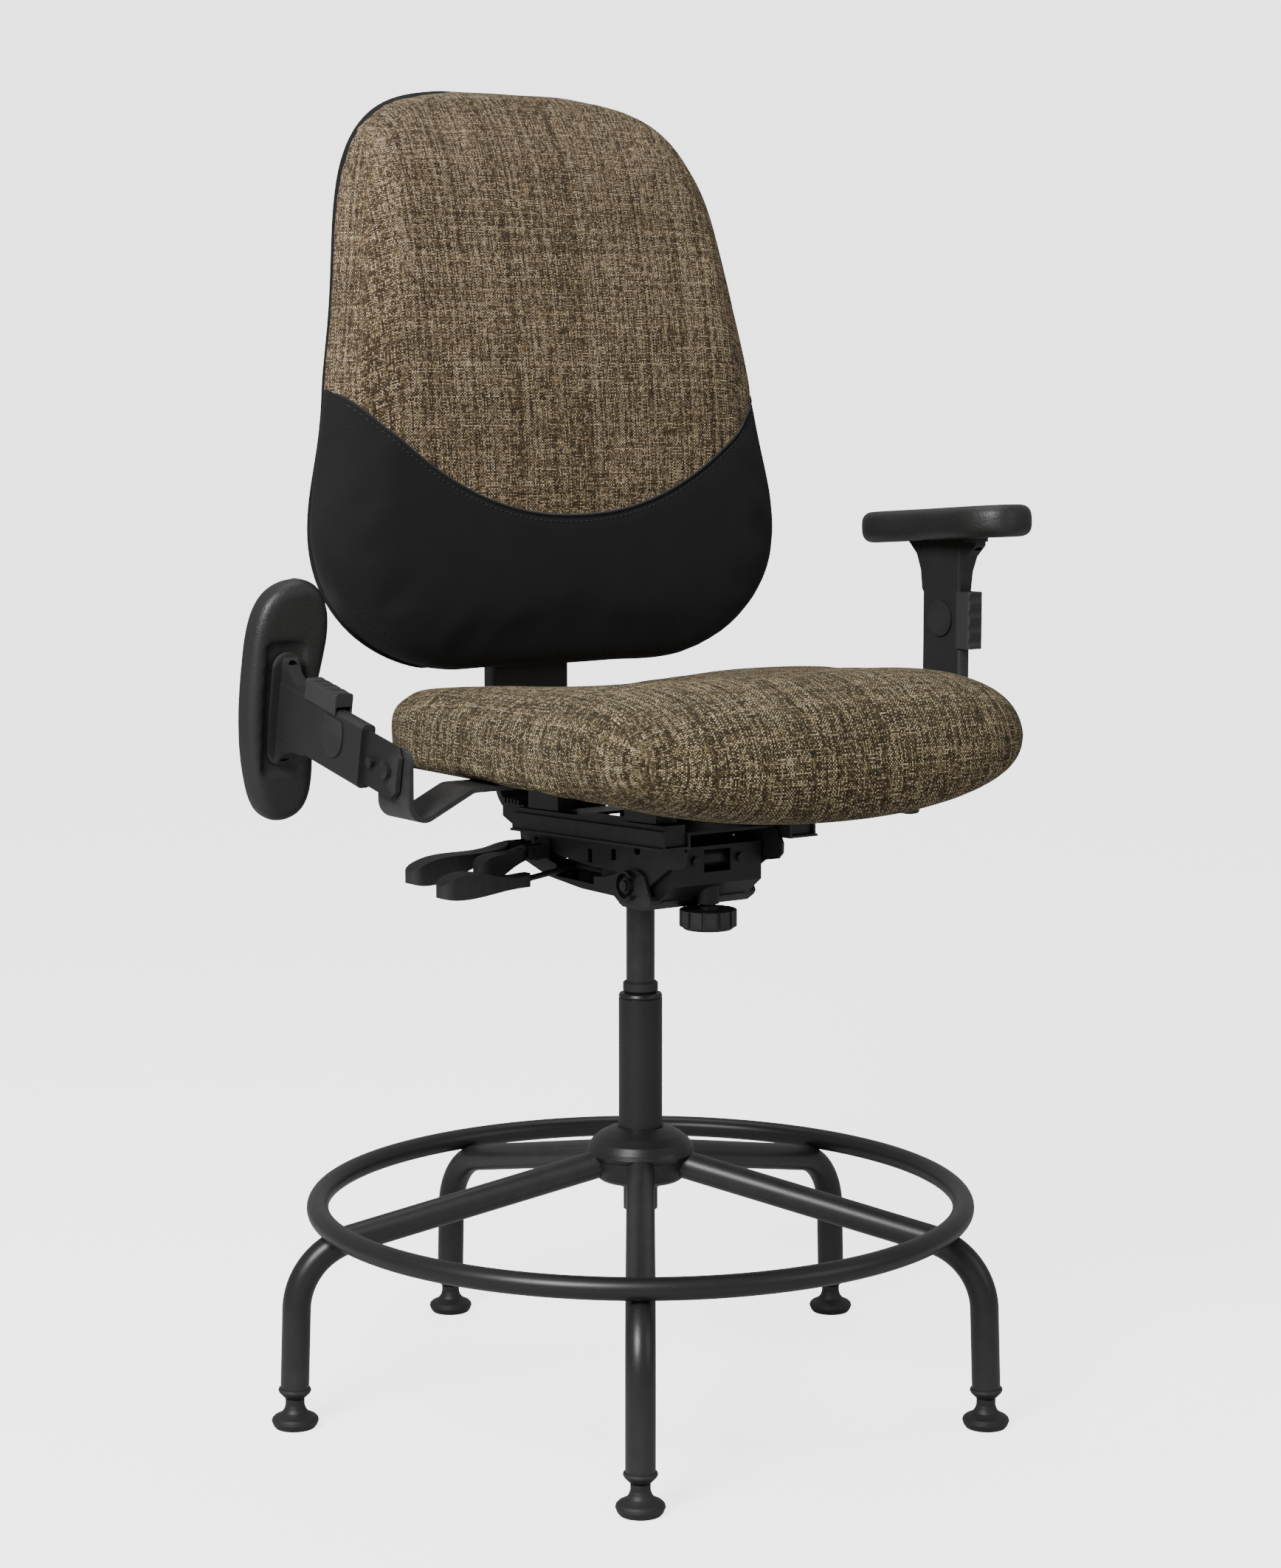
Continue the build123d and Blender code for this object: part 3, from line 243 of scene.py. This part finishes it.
def pad_skin(name):
    """Integral-skin foam: leather-like pebbles with fine pores between them."""
    material, tree, shader, place = new_material(name)
    bent = shifted(tree, place, 130.0, (0.0022, 0.0022, 0.0022))
    cells = {"Vector": bent, "Scale": 620.0, "Smoothness": 0.4}
    pebble = node(tree, "ShaderNodeTexVoronoi", cells, feature="SMOOTH_F1").outputs["Distance"]
    shade = noise(tree, place, 18.0, 3.0)
    put(tree, shader.inputs["Base Color"], mix_colour(tree, shade, grey(0.0125), grey(0.0195)))
    put(tree, shader.inputs["Roughness"], mix_value(tree, pebble, 0.52, 0.40))
    shader.inputs["Specular IOR Level"].default_value = 0.45
    pores = calc(tree, "MULTIPLY", noise(tree, bent, 1900.0), 0.3)
    height = calc(tree, "SUBTRACT", pores, pebble)
    put(tree, shader.inputs["Normal"], bump(tree, height, 0.00022))
    return material


# ---------------------------------------------------------------------------
# Woven materials
# ---------------------------------------------------------------------------

def weave_group():
    """Plain weave of slubby threads: takes (u, v, 0) in metres, gives a thread's tone and its height."""
    tree = bpy.data.node_groups.new("tweed_weave", "ShaderNodeTree")
    tree.interface.new_socket("Place", in_out="INPUT", socket_type="NodeSocketVector")
    tree.interface.new_socket("Tone", in_out="OUTPUT", socket_type="NodeSocketFloat")
    tree.interface.new_socket("Height", in_out="OUTPUT", socket_type="NodeSocketFloat")
    source = tree.nodes.new("NodeGroupInput").outputs[0]
    waved = shifted(tree, source, 26.0, (THREAD_SWAY, THREAD_SWAY, 0.0))
    split = node(tree, "ShaderNodeSeparateXYZ", {0: waved})
    u = calc(tree, "DIVIDE", split.outputs[0], THREAD)
    v = calc(tree, "DIVIDE", split.outputs[1], THREAD)
    column, row = calc(tree, "FLOOR", u), calc(tree, "FLOOR", v)
    warp_up = calc(tree, "PINGPONG", calc(tree, "ADD", column, row), 1.0)

    def pick(a, b):
        pair = node(tree, "ShaderNodeCombineXYZ", {0: a, 1: b}).outputs[0]
        return node(tree, "ShaderNodeTexWhiteNoise", {"Vector": pair}, noise_dimensions="2D").outputs["Value"]

    def slub(a, b):
        """One thread's tone, which changes slowly along it."""
        start = calc(tree, "MULTIPLY", pick(a, 0.5), 7.0)
        stretch = calc(tree, "DIVIDE", calc(tree, "ADD", b, start), SLUB_THREADS)
        return pick(a, calc(tree, "FLOOR", stretch))

    single = pick(column, row)
    along = mix_value(tree, warp_up, slub(calc(tree, "ADD", row, 311.0), column), slub(column, row))
    whole = mix_value(tree, warp_up, pick(calc(tree, "ADD", row, 97.0), 3.5), pick(column, 9.5))
    face = calc(tree, "SUBTRACT", warp_up, 0.5)
    tone = 0.0
    for part, weight in ((single, 0.34), (along, 0.34), (whole, 0.32), (face, 0.14)):
        tone = calc(tree, "MULTIPLY_ADD", part, weight, tone)
    dome_u = calc(tree, "ABSOLUTE", calc(tree, "SINE", calc(tree, "MULTIPLY", u, math.pi)))
    dome_v = calc(tree, "ABSOLUTE", calc(tree, "SINE", calc(tree, "MULTIPLY", v, math.pi)))
    height = calc(tree, "POWER", calc(tree, "MULTIPLY", dome_u, dome_v), 0.45)
    output = tree.nodes.new("NodeGroupOutput")
    put(tree, output.inputs["Tone"], tone)
    put(tree, output.inputs["Height"], height)
    return tree


def rolled(tree, out, up, radius, sign=-1.0):
    """Distance run round an edge: flat on top, round the roll, and flat again underneath."""
    past = calc(tree, "MAXIMUM", out, 0.0)
    before = calc(tree, "MAXIMUM", calc(tree, "MULTIPLY", out, -1.0), 0.0)
    flat = calc(tree, "MULTIPLY", calc(tree, "SIGN", up), before)
    bend = calc(tree, "MULTIPLY", calc(tree, "ARCTAN2", past, up), radius * sign)
    return calc(tree, "ADD", flat, bend)


def seat_maps(tree, x, y, z):
    """Flat maps of the seat's cover: over the front roll, and over the side rolls."""
    up = calc(tree, "SUBTRACT", z, SEAT_ROLL_Z)
    out = calc(tree, "ABSOLUTE", x)
    front_v = rolled(tree, calc(tree, "SUBTRACT", SEAT_ROLL_Y, y), up, SEAT_ROLL_R)
    side_v = rolled(tree, calc(tree, "SUBTRACT", out, SEAT_SIDE_X), up, SEAT_SIDE_R)
    return (x, front_v), (y, side_v)


def back_maps(tree, x, y, z):
    """Flat maps of the back's cover: up its front, and round its sides."""
    return (x, calc(tree, "ADD", z, y)), (calc(tree, "ADD", y, calc(tree, "ABSOLUTE", x)), z)


def tweed_layers(tree, place, weave, maps, stops):
    """Colour and height of the tweed over a whole cushion, with painted shade in the gaps between threads,
    and the split place.
    """
    parts = node(tree, "ShaderNodeSeparateXYZ", {0: place}).outputs
    normal = node(tree, "ShaderNodeSeparateXYZ", {0: node(tree, "ShaderNodeNewGeometry").outputs["Normal"]})
    factor = between(tree, calc(tree, "ABSOLUTE", normal.outputs[0]), 0.66, 0.78)
    tones, heights = [], []
    for u, v in maps(tree, *parts):
        made = node(tree, "ShaderNodeGroup", node_tree=weave)
        put(tree, made.inputs[0], node(tree, "ShaderNodeCombineXYZ", {0: u, 1: v}).outputs[0])
        tones.append(made.outputs["Tone"])
        heights.append(made.outputs["Height"])
    tone = mix_value(tree, factor, *tones)
    height = mix_value(tree, factor, *heights)
    drift = calc(tree, "MULTIPLY", calc(tree, "SUBTRACT", noise(tree, place, 9.0, 3.0), 0.5), 0.12)
    colour = ramp(tree, calc(tree, "ADD", tone, drift), stops)
    # Painted shade: the colour is darkened towards a dark brown in the gaps between threads, where the
    # weave's height is low.
    gap = between(tree, height, 0.20, 0.90)
    depth = calc(tree, "MULTIPLY", calc(tree, "SUBTRACT", 1.0, gap), 0.80)
    return mix_colour(tree, depth, colour, (0.012, 0.009, 0.006, 1)), height, parts


SEAT_TWEED = [
    (0.28, (0.034, 0.025, 0.0125, 1)), (0.42, (0.075, 0.056, 0.028, 1)), (0.52, (0.165, 0.123, 0.062, 1)),
    (0.62, (0.32, 0.240, 0.125, 1)), (0.72, (0.54, 0.430, 0.250, 1)), (0.82, (0.72, 0.610, 0.400, 1)),
]
BACK_TWEED = [
    (0.28, (0.046, 0.031, 0.018, 1)), (0.42, (0.110, 0.076, 0.042, 1)), (0.52, (0.225, 0.157, 0.087, 1)),
    (0.62, (0.39, 0.276, 0.156, 1)), (0.72, (0.60, 0.455, 0.280, 1)), (0.82, (0.76, 0.630, 0.440, 1)),
]


def seat_tweed(name, weave):
    material, tree, shader, place = new_material(name)
    colour, height, _ = tweed_layers(tree, place, weave, seat_maps, SEAT_TWEED)
    put(tree, shader.inputs["Base Color"], colour)
    shader.inputs["Roughness"].default_value = 0.93
    shader.inputs["Specular IOR Level"].default_value = 0.12
    shader.inputs["Sheen Weight"].default_value = 0.04
    put(tree, shader.inputs["Normal"], bump(tree, height, 0.0009))
    return material


def twill_layers(tree, place):
    """Black twill: fine slanting ribs, nearly even in colour, with painted shade in the grooves between the
    ribs.
    """
    split = node(tree, "ShaderNodeSeparateXYZ", {0: place})
    x, y, z = split.outputs
    level = calc(tree, "MULTIPLY_ADD", y, 0.8, x)
    slant = calc(tree, "ADD", level, z)
    cross = calc(tree, "SUBTRACT", level, z)
    rib = calc(tree, "ABSOLUTE", calc(tree, "SINE", calc(tree, "MULTIPLY", slant, math.pi / TWILL_RIB)))
    wave = calc(tree, "SINE", calc(tree, "MULTIPLY", cross, math.pi / TWILL_RIB * 0.5))
    height = calc(tree, "MULTIPLY_ADD", calc(tree, "ABSOLUTE", wave), 0.4, rib)
    patch = calc(tree, "MULTIPLY", noise(tree, place, 40.0, 4.0), 0.4)
    # Painted shade from the ribs' height (grooves darker, rib tops lighter), mixed with random darker and
    # lighter patches.
    shade = calc(tree, "MULTIPLY_ADD", height, 0.5, patch)
    colour = mix_colour(tree, shade, grey(0.0055), (0.0145, 0.0145, 0.0152, 1))
    return colour, height


def twill(name):
    material, tree, shader, place = new_material(name)
    colour, height = twill_layers(tree, place)
    put(tree, shader.inputs["Base Color"], colour)
    shader.inputs["Roughness"].default_value = 0.86
    shader.inputs["Specular IOR Level"].default_value = 0.25
    shader.inputs["Sheen Weight"].default_value = 0.12
    put(tree, shader.inputs["Normal"], bump(tree, height, 0.00025))
    return material


def two_tone(name, weave):
    """The back's cover: tweed above the curved seam and black twill below it."""
    material, tree, shader, place = new_material(name)
    tweed_colour, tweed_height, parts = tweed_layers(tree, place, weave, back_maps, BACK_TWEED)
    twill_colour, twill_height = twill_layers(tree, place)
    out = calc(tree, "DIVIDE", calc(tree, "ABSOLUTE", parts[0]), SEAM_REACH)
    seam = calc(tree, "MULTIPLY", calc(tree, "POWER", out, SEAM_POWER), SEAM_RISE)
    above = calc(tree, "GREATER_THAN", calc(tree, "SUBTRACT", parts[2], seam), SEAM_LOW)
    put(tree, shader.inputs["Base Color"], mix_colour(tree, above, twill_colour, tweed_colour))
    shader.inputs["Roughness"].default_value = 0.90
    shader.inputs["Specular IOR Level"].default_value = 0.14
    shader.inputs["Sheen Weight"].default_value = 0.04
    height = mix_value(tree, above, calc(tree, "MULTIPLY", twill_height, 0.25), tweed_height)
    put(tree, shader.inputs["Normal"], bump(tree, height, 0.0009))
    return material


def looked_at(tree, otherwise, value):
    """One number for what is looked at directly, and another for the light it gives."""
    return mix_value(tree, node(tree, "ShaderNodeLightPath").outputs["Is Camera Ray"], otherwise, value)


def floor_material(name):
    """Pale matte floor, as bright as the backdrop behind it."""
    material, tree, shader, _ = new_material(name)
    put(tree, shader.inputs["Base Color"], looked_at(tree, FLOOR_TONE, FLOOR_LOOK))
    shader.inputs["Roughness"].default_value = 1.0
    shader.inputs["Specular IOR Level"].default_value = 0.0
    shader.inputs["Emission Color"].default_value = grey(1.0)
    put(tree, shader.inputs["Emission Strength"], looked_at(tree, 0.0, BACKDROP_GLOW))
    return material


# ---------------------------------------------------------------------------
# Mesh helpers
# ---------------------------------------------------------------------------

def link(name, mesh, material, body):
    """A new piece of the object: its mesh, look and body."""
    piece = bpy.data.objects.new(name, mesh)
    bpy.context.scene.collection.objects.link(piece)
    mesh.materials.clear()
    mesh.materials.append(material)
    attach(piece, body)
    return piece


def smooth(mesh):
    mesh.polygons.foreach_set("use_smooth", [True] * len(mesh.polygons))
    mesh.update()


def points_of(mesh):
    flat = np.empty(len(mesh.vertices) * 3)
    mesh.vertices.foreach_get("co", flat)
    return flat.reshape(-1, 3)


def normals_of(mesh):
    flat = np.empty(len(mesh.vertices) * 3)
    mesh.vertices.foreach_get("normal", flat)
    return flat.reshape(-1, 3)


def set_points(mesh, points):
    mesh.vertices.foreach_set("co", np.ascontiguousarray(points, dtype=float).ravel())
    mesh.update()


def remeshed(node_name, voxel):
    """A closed, even mesh with the shape of a CAD node."""
    source = NODES[node_name]
    helper = bpy.data.objects.new("helper", source.data.copy())
    bpy.context.scene.collection.objects.link(helper)
    weld = helper.modifiers.new("weld", "WELD")
    weld.merge_threshold = 0.0001
    cut = helper.modifiers.new("remesh", "REMESH")
    cut.mode = "VOXEL"
    cut.voxel_size = voxel
    ready = helper.evaluated_get(bpy.context.evaluated_depsgraph_get())
    mesh = bpy.data.meshes.new_from_object(ready)
    bpy.data.objects.remove(helper)
    return mesh


def relaxed(mesh, rounds, factor=0.5, keep=None):
    """Laplacian smoothing in code; keep marks the vertices that stay."""
    points = points_of(mesh)
    edges = np.empty(len(mesh.edges) * 2, dtype=np.int64)
    mesh.edges.foreach_get("vertices", edges)
    a, b = edges.reshape(-1, 2).T
    count = np.bincount(a, minlength=len(points)) + np.bincount(b, minlength=len(points))
    for _ in range(rounds):
        total = np.zeros_like(points)
        np.add.at(total, a, points[b])
        np.add.at(total, b, points[a])
        moved = points + (total / count[:, None] - points) * factor
        if keep is not None:
            moved[keep] = points[keep]
        points = moved
    set_points(mesh, points)


def near(mesh, node_name, distance):
    """Which vertices lie within a distance of a CAD node."""
    source = NODES[node_name].data
    tree = BVHTree.FromPolygons([v.co for v in source.vertices], [p.vertices for p in source.polygons])
    return np.array([tree.find_nearest(v.co, distance)[0] is not None for v in mesh.vertices])


def inflate(mesh, held, pressure, cap, stiffness=18.0):
    """Blow a closed cover up with cloth simulation. Held vertices stay, and none moves more than cap."""
    rest = points_of(mesh)
    helper = bpy.data.objects.new("cloth_helper", mesh)
    bpy.context.scene.collection.objects.link(helper)
    group = helper.vertex_groups.new(name="held")
    group.add([int(i) for i in np.flatnonzero(held)], 1.0, "REPLACE")
    cloth = helper.modifiers.new("cloth", "CLOTH")
    settings = cloth.settings
    settings.use_pressure = True
    settings.uniform_pressure_force = pressure
    settings.effector_weights.gravity = 0.0
    settings.vertex_group_mass = "held"
    settings.tension_stiffness = stiffness
    settings.compression_stiffness = stiffness
    settings.shear_stiffness = stiffness * 0.6
    settings.bending_stiffness = 4.0
    settings.quality = 5
    settings.mass = 0.3
    cloth.point_cache.frame_start = 1
    cloth.point_cache.frame_end = SIM_FRAMES
    scene = bpy.context.scene
    for step in range(1, SIM_FRAMES + 1):
        scene.frame_set(step)
    ready = helper.evaluated_get(bpy.context.evaluated_depsgraph_get())
    moved = points_of(ready.data)
    scene.frame_set(1)
    bpy.data.objects.remove(helper)
    step = moved - rest
    length = np.linalg.norm(step, axis=1, keepdims=True)
    limited = step * np.minimum(1.0, cap / np.maximum(length, 1e-9))
    set_points(mesh, rest + limited)


def subdivide_once(piece):
    modifier = piece.modifiers.new("surface", "SUBSURF")
    modifier.levels = 1
    modifier.render_levels = 1


# ---------------------------------------------------------------------------
# Cushions and pads
# ---------------------------------------------------------------------------

def build_seat(material):
    """Saddle seat: shallow hollow at the rear, raised sides and front, and a front that rolls over."""
    mesh = remeshed("seat_cushion", 0.007)
    low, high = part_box("seat_cushion")
    relaxed(mesh, 6)
    points, normals = points_of(mesh), normals_of(mesh)
    held = (normals[:, 2] < -0.75) & (points[:, 1] > low.y + 0.16) | near(mesh, "seat_pan", 0.004)
    length = high.y - low.y
    along = (high.y - points[:, 1]) / length
    upward = np.clip((normals[:, 2] - 0.1) / 0.6, 0, 1)
    hollow = 0.024 * np.exp(-(points[:, 0] / 0.135) ** 2) * np.clip((0.78 - along) / 0.3, 0, 1)
    hollow *= np.clip(along / 0.10, 0.35, 1)
    points[:, 2] -= hollow * upward
    set_points(mesh, points)
    relaxed(mesh, 4, keep=held)
    inflate(mesh, held, 4.0, COVER_RISE)
    relaxed(mesh, 5, keep=held)
    smooth(mesh)
    piece = link("seat_upholstery", mesh, material, "carriage")
    subdivide_once(piece)
    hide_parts("seat_cushion")
    return piece


def seam_height(x):
    return SEAM_LOW + SEAM_RISE * (np.abs(x) / SEAM_REACH) ** SEAM_POWER


def build_back(material):
    """Tall back cushion with a curved seam pressed into its foam."""
    mesh = remeshed("back_cushion", 0.007)
    relaxed(mesh, 6)
    held = near(mesh, "back_shell", 0.003)
    inflate(mesh, held, 4.0, COVER_RISE)
    relaxed(mesh, 5, keep=held)
    points, normals = points_of(mesh), normals_of(mesh)
    off_seam = points[:, 2] - seam_height(points[:, 0])
    groove = 0.0022 * np.exp(-(off_seam / 0.006) ** 2) * np.clip(-normals[:, 1] * 2, 0, 1)
    set_points(mesh, points - normals * groove[:, None])
    smooth(mesh)
    piece = link("back_upholstery", mesh, material, "back")
    subdivide_once(piece)
    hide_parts("back_cushion")
    return piece


def surface_of(piece):
    ready = piece.evaluated_get(bpy.context.evaluated_depsgraph_get())
    mesh = ready.data
    return BVHTree.FromPolygons([v.co for v in mesh.vertices], [p.vertices for p in mesh.polygons])


def on_front(tree, x, z):
    """Point and normal on the front of a cushion at x, z."""
    place, normal, _, _ = tree.ray_cast(Vector((x, -1.0, z)), Vector((0, 1, 0)))
    return place, normal


def tube(name, points, radius, material, body, sides=8):
    """A thin round tube along points, as a mesh."""
    curve = bpy.data.curves.new(name, "CURVE")
    curve.dimensions = "3D"
    curve.bevel_depth = radius
    curve.bevel_resolution = sides // 4
    curve.use_fill_caps = True
    spline = curve.splines.new("POLY")
    spline.points.add(len(points) - 1)
    for target, point in zip(spline.points, points):
        target.co = (*point, 1.0)
    helper = bpy.data.objects.new("helper", curve)
    bpy.context.scene.collection.objects.link(helper)
    ready = helper.evaluated_get(bpy.context.evaluated_depsgraph_get())
    mesh = bpy.data.meshes.new_from_object(ready)
    bpy.data.objects.remove(helper)
    smooth(mesh)
    return link(name, mesh, material, body)


def build_seam(back, material, thread_material):
    """The folded edge along the back's seam, and the row of stitches under it."""
    tree = surface_of(back)
    reach = 0.262
    steps = 120
    edge = []
    for i in range(steps + 1):
        x = -reach + 2 * reach * i / steps
        place, normal = on_front(tree, x, seam_height(x))
        if place is not None:
            edge.append(place + normal * 0.0004)
    tube("seam_welt", edge, 0.0015, material, "back")

    stitch, gap, drop = 0.0042, 0.0020, 0.0065
    mesh = bpy.data.meshes.new("seam_stitches")
    made = bmesh.new()
    x = -0.250
    while x < 0.250:
        slope = (seam_height(x + 0.001) - seam_height(x - 0.001)) / 0.002
        step = (stitch + gap) / math.hypot(1.0, slope)
        start, normal = on_front(tree, x, seam_height(x) - drop)
        end_x = x + step * stitch / (stitch + gap)
        end, _ = on_front(tree, end_x, seam_height(end_x) - drop)
        x += step
        if start is None or end is None:
            continue
        add_stitch(made, start, end, normal, 0.00055)
    made.to_mesh(mesh)
    made.free()
    smooth(mesh)
    link("seam_stitches", mesh, thread_material, "back")


def add_stitch(made, start, end, normal, radius):
    """One stitch: a short thread that rises in the middle."""
    along = (end - start).normalized()
    side = normal.cross(along).normalized()
    rings = []
    for share, rise, thick in STITCH_SHAPE:
        centre = start.lerp(end, share) + normal * (radius * rise)
        ring = []
        for k in range(STITCH_SIDES):
            angle = math.tau * k / STITCH_SIDES
            spoke = side * math.cos(angle) + normal * math.sin(angle)
            ring.append(made.verts.new(centre + spoke * radius * thick))
        rings.append(ring)
    for lower, upper in zip(rings, rings[1:]):
        for k in range(STITCH_SIDES):
            after = (k + 1) % STITCH_SIDES
            made.faces.new((lower[k], lower[after], upper[after], upper[k]))
    made.faces.new(rings[0][::-1])
    made.faces.new(rings[-1])


def build_pad(side, material):
    """Arm pad: moulded foam, softened at its edges."""
    node_name = f"arm_pad_{side}"
    mesh = remeshed(node_name, 0.0026)
    relaxed(mesh, 5)
    smooth(mesh)
    piece = link(f"arm_rest_{side}", mesh, material, f"armrest_{side}")
    subdivide_once(piece)
    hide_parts(node_name)
    return piece


# ---------------------------------------------------------------------------
# Studio and camera
# ---------------------------------------------------------------------------

def area_light(name, place, target, size, power):
    data = bpy.data.lights.new(name, "AREA")
    data.shape = "DISK"
    data.size = size
    data.energy = power
    lamp = bpy.data.objects.new(name, data)
    lamp.location = place
    lamp.rotation_euler = (Vector(target) - Vector(place)).to_track_quat("-Z", "Y").to_euler()
    bpy.context.scene.collection.objects.link(lamp)


def build_studio():
    mesh = bpy.data.meshes.new("floor")
    half = FLOOR_HALF
    corners = [(-half, -half, 0), (half, -half, 0), (half, half, 0), (-half, half, 0)]
    mesh.from_pydata(corners, [], [(0, 1, 2, 3)])
    floor = bpy.data.objects.new("floor", mesh)
    mesh.materials.append(floor_material("floor_pale"))
    bpy.context.scene.collection.objects.link(floor)
    floor.location.z = -0.0005

    world = bpy.data.worlds.new("studio")
    world.use_nodes = True
    tree = world.node_tree
    background = tree.nodes["Background"]
    background.inputs[0].default_value = grey(1.0)
    far_floor = SOFT_LIGHT * FLOOR_LOOK + BACKDROP_GLOW
    put(tree, background.inputs[1], looked_at(tree, SOFT_LIGHT, far_floor))
    bpy.context.scene.world = world

    target = (0, 0, 0.75)
    area_light("key", (-2.6, -1.2, 2.6), target, 1.6, 175)
    area_light("fill", (1.6, -3.0, 1.8), target, 2.0, 14)
    area_light("top", (0.3, 0.6, 3.2), target, 2.0, 20)


def build_camera():
    data = bpy.data.cameras.new("camera")
    data.lens = CAMERA_LENS
    data.sensor_width = SENSOR
    data.sensor_fit = "AUTO"
    camera = bpy.data.objects.new("camera", data)
    reach = CAMERA_DISTANCE
    camera.location = (math.sin(CAMERA_AZIMUTH) * reach, -math.cos(CAMERA_AZIMUTH) * reach, CAMERA_HEIGHT)
    camera.rotation_euler = (math.pi / 2 - CAMERA_PITCH, 0.0, CAMERA_AZIMUTH)
    bpy.context.scene.collection.objects.link(camera)
    bpy.context.scene.camera = camera


# ---------------------------------------------------------------------------
# Dress the CAD nodes, build the soft pieces
# ---------------------------------------------------------------------------

build_camera()
build_studio()
WEAVE = weave_group()
LOOKS = {
    "base_powder_coat": coated_metal("base_powder_coat", grey(0.0105), grey(0.0155), 0.36),
    "frame_powder_coat": coated_metal("frame_powder_coat", grey(0.0085), grey(0.0130), 0.46, 0.00009),
    "black_plastic": moulded_plastic("black_plastic", grey(0.0130), grey(0.0185), 0.50),
    "lift_steel": coated_metal("lift_steel", grey(0.0105), grey(0.0140), 0.30, 0.00002),
    "dark_hardware": black_oxide("black_oxide"),
    "bumper_rubber": rubber("bumper_rubber"),
    "arm_pad_polyurethane": pad_skin("arm_pad_skin"),
}
for name, piece in NODES.items():
    look = LOOKS.get(SLOT_OF[name])
    if look:
        piece.data.materials.clear()
        piece.data.materials.append(look)
        for polygon in piece.data.polygons:
            polygon.material_index = 0

build_seat(seat_tweed("seat_tweed", WEAVE))
back = build_back(two_tone("back_cover", WEAVE))
build_seam(back, twill("black_twill"), rubber("black_thread"))
for side in ("left", "right"):
    build_pad(side, LOOKS["arm_pad_polyurethane"])
